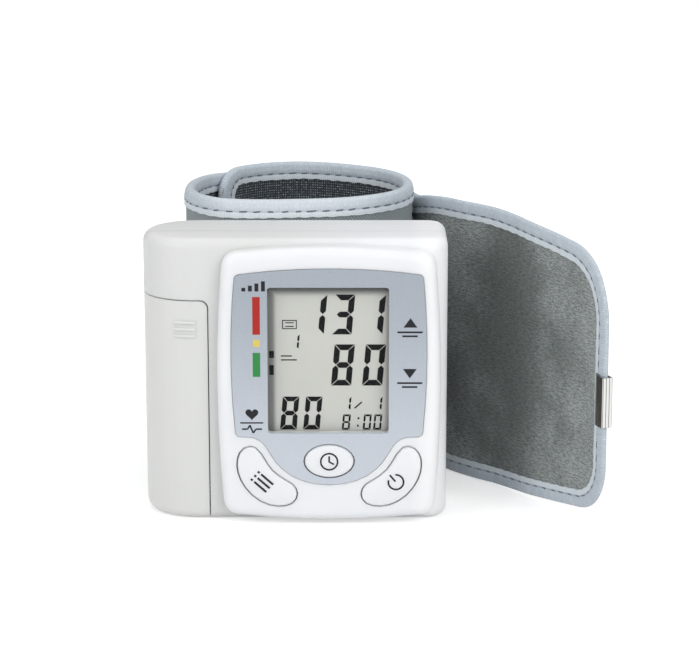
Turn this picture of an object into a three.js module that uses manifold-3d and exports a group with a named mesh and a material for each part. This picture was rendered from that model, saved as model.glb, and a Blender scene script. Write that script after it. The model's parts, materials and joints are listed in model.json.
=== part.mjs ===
// A wrist blood pressure monitor: a moulded unit with a display and three keys, and its wrapped cuff.
// Millimetres, +Z up, front towards -Y. The origin is the middle of the unit's flat underside.
import * as THREE from "three";
import { mergeVertices } from "three/addons/utils/BufferGeometryUtils.js";
import Module from "manifold-3d";

const wasm = await Module();
wasm.setup();

// Fits
const SEAM = 0.25; // between two case pieces
const FIT = 0.3; // round a piece that moves or passes through another
const SEAT = 0.1; // between flat faces that lie against each other

// Case
const BODY_WIDTH = 76;
const BODY_DEPTH = 26;
const BODY_HEIGHT = 72;
const RIGHT_CORNER = 5;
const EDGE_ROUNDING = 2.6;
const WALL = 1.8;
const PARTING_Y = -3;

// Raised bezel
const BEZEL_RISE = 5;
const BEZEL_TRAY_GAP = 1; // right of the battery tray
const BEZEL_RIGHT_MARGIN = 3.8;
const BEZEL_TOP_MARGIN = 2.4;
const BEZEL_LOW = 2.2;
const BEZEL_BOW = 1.2;
const BEZEL_CORNER = 5;
const BEZEL_EDGE = 2.5;
const BEZEL_FLARE = 0.9; // outwards on both sides, under the rounded edge
const BEZEL_WALL = 2;

// Printed panel and display
const LABEL_SIDE_MARGIN = 2.4;
const LABEL_TOP_MARGIN = 4;
const LABEL_SHOULDER = 23;
const LABEL_LOW = 10.6;
const LABEL_ARCH = 1.4;
const LABEL_BOW = 0.9;
const LABEL_CORNER = 1.6;
const LABEL_NECK_X = 14.5;
const LABEL_NECK_RISE = 1.8; // above the middle key's centre
const LABEL_NECK_PULL = 2.2; // how far the side runs on straight at the neck
const LABEL_NECK_STEEPNESS = 1.9;
const LABEL_SHOULDER_PULL = 3.6;
const LABEL_LOBE_SHARE = 0.54; // of the neck's half width, flat at the bottom
const LABEL_THICK = 0.7;
const WINDOW_SIDE_MARGIN = 8.25;
const WINDOW_TOP_MARGIN = 4.7;
const WINDOW_LOW = 23.9;
const WINDOW_CORNER = 0.8;
const WINDOW_SHIFT_X = -0.2;
const PANE_MARGIN = 1.3;
const PANE_THICK = 1;
const LCD_MARGIN = 1.6;
const LCD_THICK = 2.4;
const HOLDER_WALL = 1;
const HOLDER_LIP = 2.5;
const ZEBRA_WIDTH = 2;

// Circuit board
const BOARD_FRONT_Y = -8;
const BOARD_THICK = 1.6;
const BOARD_SIDE_MARGIN = 5.9;
const BOARD_TOP_MARGIN = 5;
const BOARD_LOW = 5;
const BOARD_RIB_THICK = 1.4;
const BOARD_RIB_HEIGHT = 10;

// Keys and their switches
const KEY_PROUD = 0.4;
const KEY_EDGE = 0.6;
const KEY_FLANGE = 0.8;
const KEY_FLANGE_THICK = 1;
const KEY_TRAVEL = 0.8;
const KEY_STEM_RADIUS = 1.5;
const SETUP_HALF_WIDTH = 6.1;
const SETUP_HALF_HEIGHT = 4.15;
const SETUP_Z = 16.7;
const BEAN_OUTLINE = [ // shares of the bezel's half width and of the middle key's height
  [0.768, 1.222], [0.84, 1.172], [0.883, 1.048], [0.889, 0.904], [0.867, 0.753], [0.81, 0.589], [0.711, 0.428],
  [0.588, 0.328], [0.471, 0.305], [0.375, 0.338], [0.323, 0.425], [0.318, 0.533], [0.357, 0.632], [0.441, 0.714],
  [0.545, 0.835], [0.615, 0.982], [0.697, 1.183],
];
const BEAN_STEM_SHARE = 0.648;
const BEAN_STEM_Z = 11.4;
const SWITCH_SIZE = 6;
const SWITCH_HEIGHT = 3.4;
const PLUNGER_RADIUS = 1.6;
const PLUNGER_PROUD = 1.1;

// Case screws
const SCREW_RADIUS = 1;
const SCREW_HEAD_RADIUS = 1.9;
const SCREW_HEAD_HEIGHT = 1.5;
const SCREW_LENGTH = 17;
const BOSS_RADIUS = 2.5;
const BOSS_INSET = 2.2;
const COUNTERBORE_DEPTH = 3.2;

// Battery bay
const COVER_WIDTH = 16.5;
const COVER_TOP_MARGIN = 15.7;
const COVER_CORNER = 2;
const GRIP_START = 8.2;
const GRIP_LENGTH = 5.5;
const GRIP_TOP_MARGIN = 5.4;
const GRIP_PITCH = 1.7;
const GRIP_HEIGHT = 0.7;
const GRIP_PROUD = 0.4;
const CELL_CLEARANCE = 0.35;
const CELL_NUB_RADIUS = 1.9;
const CELL_NUB_HEIGHT = 1;
const TRAY_WALL = 1.2;
const TRAY_CLEARANCE = 0.55;
const SPRING_RADIUS = 3;
const SPRING_WIRE = 0.35;
const SPRING_HEIGHT = 4;
const SPRING_TURNS = 3;
const CONTACT_SIZE = 7;
const CONTACT_THICK = 0.5;

// Air system
const PUMP_RIGHT_MARGIN = 11.6;
const PUMP_DROP = 42.4; // its foot below the air pipe
const PUMP_CLEARANCE = 0.4;
const MOTOR_LENGTH = 20;
const SLEEVE_WALL = 1.2;
const SLEEVE_LENGTH = 13;
const PUMP_HEAD_INSET = 0.4; // inside the sleeve's radius
const PUMP_HEAD_HEIGHT = 13;
const CRANK_RADIUS = 5;
const CRANK_THROW = 2.6;
const CRANK_THICK = 2.4;
const CRANK_PIN_RADIUS = 1.1;
const CRANK_PIN_HEIGHT = 3.2;
const SHAFT_RADIUS = 0.8;
const SHAFT_LENGTH = 4;
const NIPPLE_RADIUS = 1.2;
const NIPPLE_LENGTH = 3.4;
const TUBE_WALL = 0.9;
const MANIFOLD_RADIUS = 2.5;
const MANIFOLD_TOP_MARGIN = 9.6;
const MANIFOLD_PUMP_GAP = 11.4;
const VALVE_INSET = 5; // from the pipe's left end
const VALVE_SIZE = 10;
const VALVE_HEIGHT = 14;
const VALVE_TUBE = 3.6;
const VALVE_BORE = 2.3;
const VALVE_TRAVEL = 1;
const VALVE_PLUNGER_LENGTH = 11;
const SENSOR_INSET = 4; // from the pipe's right end
const SENSOR_SIZE = 8;
const SENSOR_HEIGHT = 7;
const SENSOR_TUBE = 10;
const CUFF_PORT_INSET = 2.5; // from the pipe's left end
const BUZZER_RADIUS = 6;
const BUZZER_HEIGHT = 3;
const BUZZER_X = -3;
const BUZZER_Z = 26;

// Cuff loop
const LOOP_HALF_WIDTH = 28.65;
const LOOP_DEPTH = 54.4;
const LOOP_CENTRE_X = 0.45;
const LOOP_PROUD = 4.5; // above the case
const LOOP_END_CORNER = 8;
const OUTER_TURN_DROP = 5.2;
const DROP_START_SHARE = 0.8; // of the inner turn
const FABRIC = 0.45;
const STIFFENER = 0.5;
const BLADDER = 0.55;
const LINING = 0.45;
const LAYER_GAP = 0.1;
const TAPE = 0.35;
const TAPE_WIDTH = 5;
const TURN_GAP = 0.45;
const BLADDER_SHARE = 0.86; // of the inner turn
const PADDING_GAP = 2;
const STIFFENER_INSET = 9;
const BLADDER_INSET = 11;
const HOOK_THICK = 0.7;
const HOOK_INSET = 10.5; // clear of the second turn's tape
const HOOK_START = 8;
const HOOK_LENGTH = 70;
const PEG_RADIUS = 1.5;
const PEG_TRAY_GAP = 4;
const PEG_SPACING = 16;
const PEG_LOW = 16;
const PEG_TOP_MARGIN = 20;

// Free end of the cuff
const TAIL_FABRIC = 0.3;
const TAIL_CORE = 0.25;
const TAIL_PILE = 0.35;
const TAIL_TAPE = 0.2;
const TAIL_TOP_RISE = 2.7; // near the fold
const TAIL_RISE_LENGTH = 22;
const TAIL_TOP_DROP = 6;
const TAIL_LOW_RISE = 4.6;
const TAIL_TAPER_START = 0.35; // share of its length that keeps the full height
const TAIL_TAPER_POWER = 1.6;
const TAIL_TOP_CORNER = 16;
const TAIL_LOW_CORNER = 12;
const RING_LOW = 27;
const RING_HEIGHT = 12.7;
const RING_WALL = 0.4;
const RING_FIT = 0.12;
const RING_REACH = 2;
const SLOT_LENGTH = 2.4;
const ROOT_PLAY = 0.05; // round the fold's own radius
const ROOT_CLEARANCE = 0.4; // between the loop's end and the fold

// Facets
const CURVE_SEGMENTS = 6;
const ROUND_SIDES = 16;
const LOOP_STEPS = 60;
const TAIL_STEPS = 17;
const TAIL_CORNER_STEPS = 9;
const WIRE_SEGMENTS = 3;
const WIRE_STEPS_PER_TURN = 10;
const TUBE_SEGMENTS = 5;
const TUBE_STEPS = 14;
const CURVE_SAMPLES = 2000;
const MERGE = 1e-4;

// Places that follow from the sizes above
const BODY_LEFT = -BODY_WIDTH / 2;
const BODY_RIGHT = BODY_WIDTH / 2;
const BODY_BACK_Y = BODY_DEPTH / 2;
const FRONT_Y = -BODY_DEPTH / 2 - BEZEL_RISE;
const LEFT_ROUND_X = BODY_LEFT + BODY_DEPTH / 2;
const BEZEL_INNER_Y = FRONT_Y + BEZEL_WALL;
const CELL_RADIUS = (BODY_DEPTH / 2 - WALL) / 2 - CELL_CLEARANCE;
const CELL_SPREAD = CELL_RADIUS + CELL_CLEARANCE;
const TRAY_BACK_X = LEFT_ROUND_X + CELL_RADIUS + TRAY_CLEARANCE + TRAY_WALL;
const BEZEL_LEFT_X = TRAY_BACK_X + BEZEL_TRAY_GAP;
const BEZEL_HALF_WIDTH = (BODY_RIGHT - BEZEL_RIGHT_MARGIN - BEZEL_LEFT_X) / 2;
const BEZEL_CENTRE_X = BEZEL_LEFT_X + BEZEL_HALF_WIDTH;
const BEZEL_HIGH = BODY_HEIGHT - BEZEL_TOP_MARGIN;
const LABEL_HALF_WIDTH = BEZEL_HALF_WIDTH - LABEL_SIDE_MARGIN;
const LABEL_HIGH = BEZEL_HIGH - LABEL_TOP_MARGIN;
const WINDOW_WIDTH = 2 * (LABEL_HALF_WIDTH - WINDOW_SIDE_MARGIN);
const WINDOW_HIGH = LABEL_HIGH - WINDOW_TOP_MARGIN;
const BOARD_LEFT = BEZEL_LEFT_X + BOARD_SIDE_MARGIN;
const BOARD_RIGHT = BEZEL_CENTRE_X + BEZEL_HALF_WIDTH - BOARD_SIDE_MARGIN;
const BOARD_HIGH = BODY_HEIGHT - BOARD_TOP_MARGIN;
const BEAN_STEM_X = BEAN_STEM_SHARE * BEZEL_HALF_WIDTH;
const COVER_SEAM_X = BODY_LEFT + COVER_WIDTH;
const COVER_TOP_Z = BODY_HEIGHT - COVER_TOP_MARGIN;
const PUMP_X = BODY_RIGHT - PUMP_RIGHT_MARGIN;
const PUMP_BACK_Y = BODY_BACK_Y - WALL;
const PUMP_FRONT_Y = BOARD_FRONT_Y + BOARD_THICK;
const PUMP_Y = (PUMP_BACK_Y + PUMP_FRONT_Y) / 2;
const SLEEVE_RADIUS = (PUMP_BACK_Y - PUMP_FRONT_Y) / 2 - PUMP_CLEARANCE;
const MOTOR_RADIUS = SLEEVE_RADIUS - SLEEVE_WALL - 2 * SEAT;
const PUMP_HEAD_RADIUS = SLEEVE_RADIUS - PUMP_HEAD_INSET;
const MANIFOLD_Z = BODY_HEIGHT - MANIFOLD_TOP_MARGIN;
const MANIFOLD_LEFT = BEZEL_LEFT_X + BOSS_INSET + BOSS_RADIUS + FIT;
const MANIFOLD_RIGHT = PUMP_X - MANIFOLD_PUMP_GAP;
const PUMP_LOW = MANIFOLD_Z - PUMP_DROP;
const VALVE_X = MANIFOLD_LEFT + VALVE_INSET;
const SENSOR_X = MANIFOLD_RIGHT - SENSOR_INSET;
const CUFF_PORT_X = MANIFOLD_LEFT + CUFF_PORT_INSET;
const LOOP_TOP = BODY_HEIGHT + LOOP_PROUD;
const PEG_X = [TRAY_BACK_X + PEG_TRAY_GAP, TRAY_BACK_X + PEG_TRAY_GAP + PEG_SPACING];
const PEG_Z = [PEG_LOW, BODY_HEIGHT - PEG_TOP_MARGIN];
const FAR = 4 * BODY_WIDTH; // well past the whole object, for cutting tools

// Colours
const plastic = (color, roughness = 0.45) => new THREE.MeshStandardMaterial({ color, roughness });
const metal = (color, roughness = 0.35) => new THREE.MeshStandardMaterial({ color, roughness, metalness: 1 });
const WHITE = plastic(0xf2f2f0);
const COVER_WHITE = plastic(0xe6e6e2);
const SILVER_BLUE = plastic(0xb6bcc8, 0.5);
const CLEAR = plastic(0xffffff, 0.1);
CLEAR.transparent = true;
CLEAR.opacity = 0.2;
const LCD_GREY = plastic(0xcdcdc1, 0.3);
const BOARD_GREEN = plastic(0x2f6b46, 0.6);
const BLACK = plastic(0x242628, 0.5);
const RUBBER = plastic(0x3a3a3c, 0.9);
const SILICONE = plastic(0xdedcd2, 0.7);
const NICKEL = metal(0xcdc8be);
const STEEL = metal(0xb8babd);
const CELL_JACKET = plastic(0x4d5a66, 0.4);
const CLOTH_GREY = plastic(0x8c9698, 0.95);
const MESH_DARK = plastic(0x34393f, 0.95);
const PILE_GREEN = plastic(0x747f7c, 1);
const TAPE_BLUE = plastic(0xafbecb, 0.9);
const HOOK_GREY = plastic(0x5f676b, 0.9);
const FOAM = plastic(0xb9bcb8, 1);

const monitor = new THREE.Group();

// Closed geometry as a solid that can be joined and cut.
function solidOf(geometry) {
  const bare = geometry.index ? geometry.toNonIndexed() : geometry.clone();
  bare.deleteAttribute("normal");
  bare.deleteAttribute("uv");
  const merged = mergeVertices(bare, MERGE);
  const vertProperties = merged.attributes.position.array;
  const triVerts = new Uint32Array(merged.index.array);
  return new wasm.Manifold(new wasm.Mesh({ numProp: 3, vertProperties, triVerts }));
}

// A named mesh of a finished solid.
function addPart(name, solid, material) {
  const { vertProperties, triVerts } = solid.getMesh();
  const geometry = new THREE.BufferGeometry();
  geometry.setAttribute("position", new THREE.BufferAttribute(vertProperties, 3));
  geometry.setIndex(new THREE.BufferAttribute(triVerts, 1));
  geometry.computeVertexNormals();
  const mesh = new THREE.Mesh(geometry, material);
  mesh.name = name;
  monitor.add(mesh);
}

const joined = (solids) => solids.reduce((a, b) => a.add(b));
const without = (solid, tools) => tools.reduce((a, b) => a.subtract(b), solid);

function box(x0, x1, y0, y1, z0, z1) {
  const geometry = new THREE.BoxGeometry(x1 - x0, y1 - y0, z1 - z0);
  geometry.translate((x0 + x1) / 2, (y0 + y1) / 2, (z0 + z1) / 2);
  return solidOf(geometry);
}

// Round rods along each axis, between two places on that axis.
function rodY(x, z, radius, y0, y1) {
  const geometry = new THREE.CylinderGeometry(radius, radius, y1 - y0, ROUND_SIDES);
  geometry.translate(x, (y0 + y1) / 2, z);
  return solidOf(geometry);
}

function rodZ(x, y, radius, z0, z1) {
  const geometry = new THREE.CylinderGeometry(radius, radius, z1 - z0, ROUND_SIDES);
  geometry.rotateX(Math.PI / 2);
  geometry.translate(x, y, (z0 + z1) / 2);
  return solidOf(geometry);
}

function rodX(y, z, radius, x0, x1) {
  const geometry = new THREE.CylinderGeometry(radius, radius, x1 - x0, ROUND_SIDES);
  geometry.rotateZ(Math.PI / 2);
  geometry.translate((x0 + x1) / 2, y, z);
  return solidOf(geometry);
}

function extruded(shape, length, edge, segments) {
  const geometry = new THREE.ExtrudeGeometry(shape, {
    depth: length - 2 * edge,
    curveSegments: CURVE_SEGMENTS,
    bevelEnabled: edge > 0,
    bevelThickness: edge,
    bevelSize: edge,
    bevelOffset: -edge,
    bevelSegments: segments,
  });
  geometry.translate(0, 0, edge);
  return geometry;
}

// A plan outline raised from z0 to z1, with its edges rounded.
function planPrism(shape, z0, z1, edge = 0, segments = 3) {
  const geometry = extruded(shape, z1 - z0, edge, segments);
  geometry.translate(0, 0, z0);
  return solidOf(geometry);
}

// A front-view outline, drawn about the bezel's middle, run from the back plane to the front plane.
function frontPrism(shape, backY, frontY, edge = 0, segments = 3) {
  const geometry = extruded(shape, backY - frontY, edge, segments);
  geometry.rotateX(Math.PI / 2);
  geometry.translate(BEZEL_CENTRE_X, backY, 0);
  return solidOf(geometry);
}

// A closed outline moved outwards along its own normals.
function offsetOutline(points, distance) {
  const side = THREE.ShapeUtils.area(points) > 0 ? 1 : -1;
  return points.map((point, i) => {
    const before = points[(i + points.length - 1) % points.length];
    const after = points[(i + 1) % points.length];
    const along = after.clone().sub(before).normalize();
    return new THREE.Vector2(point.x + side * distance * along.y, point.y - side * distance * along.x);
  });
}

// Case outline in plan: a half-round left end and two small corners on the right.
function bodyOutline(inset) {
  const right = BODY_RIGHT - inset;
  const half = BODY_DEPTH / 2 - inset;
  const corner = RIGHT_CORNER - inset;
  const shape = new THREE.Shape();
  shape.moveTo(LEFT_ROUND_X, -half);
  shape.lineTo(right - corner, -half);
  shape.absarc(right - corner, -half + corner, corner, -Math.PI / 2, 0);
  shape.absarc(right - corner, half - corner, corner, 0, Math.PI / 2);
  shape.lineTo(LEFT_ROUND_X, half);
  shape.absarc(LEFT_ROUND_X, 0, half, Math.PI / 2, 1.5 * Math.PI);
  return shape;
}

// Bezel outline from the front: four gently bowed sides and round corners.
function bezelOutline(inset, flare = 0) {
  const w = BEZEL_HALF_WIDTH + flare - inset;
  const low = BEZEL_LOW + inset;
  const high = BEZEL_HIGH - inset;
  const corner = BEZEL_CORNER - inset / 2;
  const middle = (low + high) / 2;
  const pull = 2 * BEZEL_BOW;
  const shape = new THREE.Shape();
  shape.moveTo(corner - w, low);
  shape.quadraticCurveTo(0, low - pull, w - corner, low);
  shape.quadraticCurveTo(w, low, w, low + corner);
  shape.quadraticCurveTo(w + pull, middle, w, high - corner);
  shape.quadraticCurveTo(w, high, w - corner, high);
  shape.quadraticCurveTo(0, high + pull, corner - w, high);
  shape.quadraticCurveTo(-w, high, -w, high - corner);
  shape.quadraticCurveTo(-w - pull, middle, -w, low + corner);
  shape.quadraticCurveTo(-w, low, corner - w, low);
  return shape;
}

// Panel outline from the front: an arched top, bowed sides, and a lobe below that goes round the middle key.
function labelPoints() {
  const w = LABEL_HALF_WIDTH;
  const top = LABEL_HIGH - LABEL_ARCH;
  const shoulder = LABEL_SHOULDER;
  const corner = LABEL_CORNER;
  const neckX = LABEL_NECK_X;
  const neckZ = SETUP_Z + LABEL_NECK_RISE;
  const run = LABEL_NECK_PULL;
  const rise = LABEL_NECK_STEEPNESS * run;
  const half = new THREE.Path();
  half.moveTo(0, LABEL_HIGH);
  half.quadraticCurveTo(w / 2, LABEL_HIGH, w - corner, top);
  half.quadraticCurveTo(w, top, w, top - corner);
  half.quadraticCurveTo(w + 2 * LABEL_BOW, (top + shoulder) / 2, w, shoulder + corner);
  half.quadraticCurveTo(w, shoulder, w - corner, shoulder);
  half.bezierCurveTo(neckX + LABEL_SHOULDER_PULL, shoulder, neckX + run, neckZ + rise, neckX, neckZ);
  half.bezierCurveTo(neckX - run, neckZ - rise, LABEL_LOBE_SHARE * neckX, LABEL_LOW, 0, LABEL_LOW);
  const right = half.getPoints(CURVE_SEGMENTS);
  const left = right.slice(1, -1).reverse().map((p) => new THREE.Vector2(-p.x, p.y));
  return right.concat(left);
}

function setupPoints() {
  const ellipse = new THREE.EllipseCurve(0, SETUP_Z, SETUP_HALF_WIDTH, SETUP_HALF_HEIGHT);
  return ellipse.getPoints(4 * CURVE_SEGMENTS).slice(0, -1);
}

// Bean key outline on the right of the bezel's middle; side -1 mirrors it.
function beanPoints(side) {
  const points = BEAN_OUTLINE.map(([x, z]) => new THREE.Vector3(side * x * BEZEL_HALF_WIDTH, z * SETUP_Z, 0));
  const curve = new THREE.CatmullRomCurve3(points, true);
  return curve.getPoints(4 * CURVE_SEGMENTS).slice(0, -1).map((p) => new THREE.Vector2(p.x, p.y));
}

// Opening over the display, drawn about the bezel's middle.
function windowOutline() {
  const x0 = WINDOW_SHIFT_X - WINDOW_WIDTH / 2;
  const x1 = WINDOW_SHIFT_X + WINDOW_WIDTH / 2;
  const z0 = WINDOW_LOW;
  const z1 = WINDOW_HIGH;
  const corner = WINDOW_CORNER;
  const shape = new THREE.Shape();
  shape.moveTo(x0 + corner, z0);
  shape.lineTo(x1 - corner, z0);
  shape.absarc(x1 - corner, z0 + corner, corner, -Math.PI / 2, 0);
  shape.lineTo(x1, z1 - corner);
  shape.absarc(x1 - corner, z1 - corner, corner, 0, Math.PI / 2);
  shape.lineTo(x0 + corner, z1);
  shape.absarc(x0 + corner, z1 - corner, corner, Math.PI / 2, Math.PI);
  shape.lineTo(x0, z0 + corner);
  shape.absarc(x0 + corner, z0 + corner, corner, Math.PI, 1.5 * Math.PI);
  return shape;
}

const KEYS = [
  { name: "memory", points: beanPoints(-1), x: -BEAN_STEM_X, z: BEAN_STEM_Z },
  { name: "setup", points: setupPoints(), x: 0, z: SETUP_Z },
  { name: "power", points: beanPoints(1), x: BEAN_STEM_X, z: BEAN_STEM_Z },
];

// Cuff path

// The loop's middle line from the inner end at the back left, clockwise from above, in shares of its size.
const LOOP_SHARES = [
  [-0.766, 0.742], [-0.609, 0.848], [-0.382, 0.95], [-0.051, 1], [0.264, 0.968], [0.525, 0.9], [0.745, 0.813],
  [0.892, 0.71], [0.976, 0.589], [1, 0.47], [0.972, 0.35], [0.867, 0.222], [0.665, 0.117], [0.368, 0.041],
  [-0.012, 0.008], [-0.4, 0], [-0.679, 0.03], [-0.874, 0.133], [-0.983, 0.286], [-1, 0.46], [-0.965, 0.626],
];
const OVERLAPPED_POINTS = 9;

const CUFF_CORE = FABRIC + STIFFENER + BLADDER + LINING + 3 * LAYER_GAP;
const CUFF_HALF = CUFF_CORE / 2;
const TAPE_INNER = CUFF_HALF + SEAT;
const TAPE_OUTER = TAPE_INNER + TAPE;
const TURN_PITCH = 2 * TAPE_OUTER + TURN_GAP;
const LOOP_FRONT_Y = BODY_BACK_Y + FIT + TAPE_OUTER;

// Left-hand normal of a heading, which points out of a loop that runs clockwise.
const leftOf = (t) => new THREE.Vector3(-t.y, t.x, 0).normalize();

function loopCurve() {
  const inner = LOOP_SHARES.map(
    ([x, y]) => new THREE.Vector3(LOOP_CENTRE_X + x * LOOP_HALF_WIDTH, y * LOOP_DEPTH, 0),
  );
  const outer = inner.slice(0, OVERLAPPED_POINTS).map((point, i) => {
    const before = inner[Math.max(i - 1, 0)];
    const heading = inner[i + 1].clone().sub(before);
    return point.clone().addScaledVector(leftOf(heading), TURN_PITCH);
  });
  const curve = new THREE.CatmullRomCurve3(inner.concat(outer), false, "centripetal");
  const foremost = Math.min(...curve.getPoints(CURVE_SAMPLES).map((point) => point.y));
  curve.points.forEach((point) => point.setY(point.y + LOOP_FRONT_Y - foremost));
  return curve;
}

const LOOP = loopCurve();
LOOP.arcLengthDivisions = CURVE_SAMPLES;
const LOOP_LENGTH = LOOP.getLength();
const TAIL_HALF = (TAIL_FABRIC + TAIL_CORE + TAIL_PILE + 2 * LAYER_GAP) / 2;
const TAIL_TAPE_INNER = TAIL_HALF + SEAT;
const TAIL_TAPE_OUTER = TAIL_TAPE_INNER + TAIL_TAPE;
const ROOT_RADIUS = TAIL_TAPE_OUTER + ROOT_PLAY;

// The fold where the free end leaves the loop, and the free end's middle line from there.
const HINGE = LOOP.getPointAt(1).addScaledVector(LOOP.getTangentAt(1), ROOT_RADIUS + ROOT_CLEARANCE);
const TAIL_STEPS_FROM_HINGE = [
  [0, 0], [1.1, -5], [3.4, -9.7], [6.4, -14.5], [9.8, -19.3], [13.8, -23.7], [19, -29.1], [23.1, -34.9],
  [27.4, -42], [32.7, -49.6], [38.3, -58], [41.6, -63.8], [44.1, -70.1],
];
const TAIL = new THREE.CatmullRomCurve3(
  TAIL_STEPS_FROM_HINGE.map(([x, y]) => new THREE.Vector3(HINGE.x + x, HINGE.y + y, 0)),
  false,
  "centripetal",
);
const TAIL_LENGTH = TAIL.getLength();

// How far back the loop's middle line lies where it passes behind the case.
function loopFrontAt(x) {
  const front = LOOP.getPoints(CURVE_SAMPLES).filter((point) => point.y < LOOP_FRONT_Y + LOOP_DEPTH / 4);
  return front.reduce((a, b) => (Math.abs(b.x - x) < Math.abs(a.x - x) ? b : a)).y;
}

// A place on a curve at a distance along it, run on straight past its ends.
function stationAt(curve, length, distance) {
  const held = Math.min(Math.max(distance, 0), length);
  const point = curve.getPointAt(held / length);
  const along = curve.getTangentAt(held / length);
  point.addScaledVector(along, distance - held);
  return { point, along, left: leftOf(along), distance };
}

// A closed solid through sections of [offset to the left, height], one at each station.
function sweep(stations, sectionAt) {
  const positions = [];
  const index = [];
  const sections = stations.map((station) => sectionAt(station.distance));
  const count = sections[0].length;
  stations.forEach(({ point, left }, i) => {
    sections[i].forEach(([offset, z]) => {
      positions.push(point.x + offset * left.x, point.y + offset * left.y, z);
    });
  });
  for (let i = 0; i + 1 < stations.length; i += 1) {
    for (let k = 0; k < count; k += 1) {
      const a = i * count + k;
      const b = i * count + ((k + 1) % count);
      index.push(a, b, a + count, b, b + count, a + count);
    }
  }
  const capOf = (section) => {
    const outline = section.map(([offset, z]) => new THREE.Vector2(offset, z));
    return THREE.ShapeUtils.triangulateShape(outline, []);
  };
  const last = (stations.length - 1) * count;
  capOf(sections[0]).forEach(([a, b, c]) => index.push(a, c, b));
  capOf(sections[stations.length - 1]).forEach(([a, b, c]) => index.push(last + a, last + b, last + c));
  const geometry = new THREE.BufferGeometry();
  geometry.setAttribute("position", new THREE.Float32BufferAttribute(positions, 3));
  geometry.setIndex(index);
  return solidOf(geometry);
}

// Stations that every loop layer shares, so that the layers stay parallel.
const LOOP_STEP = LOOP_LENGTH / LOOP_STEPS;

function loopStations(firstStep = 0, lastStep = LOOP_STEPS) {
  const steps = Array.from({ length: lastStep - firstStep + 1 }, (_, i) => firstStep + i);
  return steps.map((i) => stationAt(LOOP, LOOP_LENGTH, i * LOOP_STEP));
}

const INNER_TURN_SPANS = LOOP_SHARES.length - 1;
const INNER_TURN_LENGTH = LOOP_LENGTH * INNER_TURN_SPANS / (INNER_TURN_SPANS + OVERLAPPED_POINTS);

// How far a rounded corner cuts into an edge at a distance from the end.
function cornerCut(radius, toEnd) {
  const left = Math.max(radius - toEnd, 0);
  return radius - Math.sqrt(radius ** 2 - left ** 2);
}

const loopLow = (distance) => cornerCut(LOOP_END_CORNER, Math.max(distance, 0));

// The upper edge is round at the inner end and sinks a little where the band starts its second turn.
function loopTop(distance) {
  const start = DROP_START_SHARE * INNER_TURN_LENGTH;
  const share = THREE.MathUtils.smoothstep(distance, start, LOOP_LENGTH);
  return LOOP_TOP - OUTER_TURN_DROP * share - loopLow(distance);
}

const strip = (inner, outer, low, high) => [[inner, low], [outer, low], [outer, high], [inner, high]];

// A layer of the loop, kept the inset away from both edges, between two distances along it.
function loopSheet(inner, outer, inset, from = 0, to = LOOP_LENGTH) {
  const stations = loopStations(Math.ceil(from / LOOP_STEP), Math.floor(to / LOOP_STEP + MERGE));
  return sweep(stations, (s) => strip(inner, outer, loopLow(s) + inset, loopTop(s) - inset));
}

// Tape folded over an edge: legs towards the middle of the band, rounded outside.
function foldedTape(edgeAt, inward) {
  const round = TAPE;
  const stations = loopStations();
  const facing = (points) => (inward < 0 ? points : points.reverse());
  const whole = sweep(stations, (s) => facing([
    [-TAPE_OUTER, edgeAt(s) + inward * TAPE_WIDTH],
    [TAPE_OUTER, edgeAt(s) + inward * TAPE_WIDTH],
    [TAPE_OUTER, edgeAt(s) + inward * round],
    [TAPE_OUTER - round, edgeAt(s)],
    [round - TAPE_OUTER, edgeAt(s)],
    [-TAPE_OUTER, edgeAt(s) + inward * round],
  ]));
  const slit = sweep(loopStations(-1, LOOP_STEPS + 1), (s) => facing([
    [-TAPE_INNER, edgeAt(s) + inward * 2 * TAPE_WIDTH],
    [TAPE_INNER, edgeAt(s) + inward * 2 * TAPE_WIDTH],
    [TAPE_INNER, edgeAt(s) + inward * TAPE],
    [-TAPE_INNER, edgeAt(s) + inward * TAPE],
  ]));
  return whole.subtract(slit);
}

// Distances that every layer of the free end shares: even steps, then closer ones round the end corners.
const TAIL_PLAIN = TAIL_LENGTH - TAIL_TOP_CORNER;
const TAIL_DISTANCES = [];
for (let i = 0; i < TAIL_STEPS; i += 1) {
  TAIL_DISTANCES.push(TAIL_PLAIN * i / TAIL_STEPS);
}
for (let i = 0; i < TAIL_CORNER_STEPS; i += 1) {
  TAIL_DISTANCES.push(TAIL_PLAIN + TAIL_TOP_CORNER * Math.sin(i / TAIL_CORNER_STEPS * Math.PI / 2));
}

// A slab of the free end, kept the inset away from its top, bottom and end, with round end corners.
function tailSlab(inner, outer, inset, from) {
  const end = TAIL_LENGTH - inset;
  const cornerTop = Math.max(TAIL_TOP_CORNER - inset, FIT);
  const cornerLow = Math.max(TAIL_LOW_CORNER - inset, FIT);
  const shared = TAIL_DISTANCES.filter((distance) => distance < end - SEAT);
  const distances = [from, ...shared, end];
  const stations = distances.map((distance) => stationAt(TAIL, TAIL_LENGTH, distance));
  return sweep(stations, (s) => {
    const tapered = Math.max(s / TAIL_LENGTH - TAIL_TAPER_START, 0) / (1 - TAIL_TAPER_START);
    const taper = tapered ** TAIL_TAPER_POWER;
    const toEnd = Math.max(end - s, 0);
    const low = TAIL_LOW_RISE * taper + inset + cornerCut(cornerLow, toEnd);
    const toRise = 1 - THREE.MathUtils.clamp(s / TAIL_RISE_LENGTH, 0, 1);
    const rise = TAIL_TOP_RISE * (1 - toRise ** 2);
    const top = loopTop(LOOP_LENGTH) + rise - TAIL_TOP_DROP * taper;
    const high = top - inset - cornerCut(cornerTop, toEnd);
    return strip(inner, outer, low, high);
  });
}

// How far before the fold a layer may start and still turn freely with it.
const rootStart = (reach) => -Math.sqrt(ROOT_RADIUS ** 2 - reach ** 2);

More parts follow.
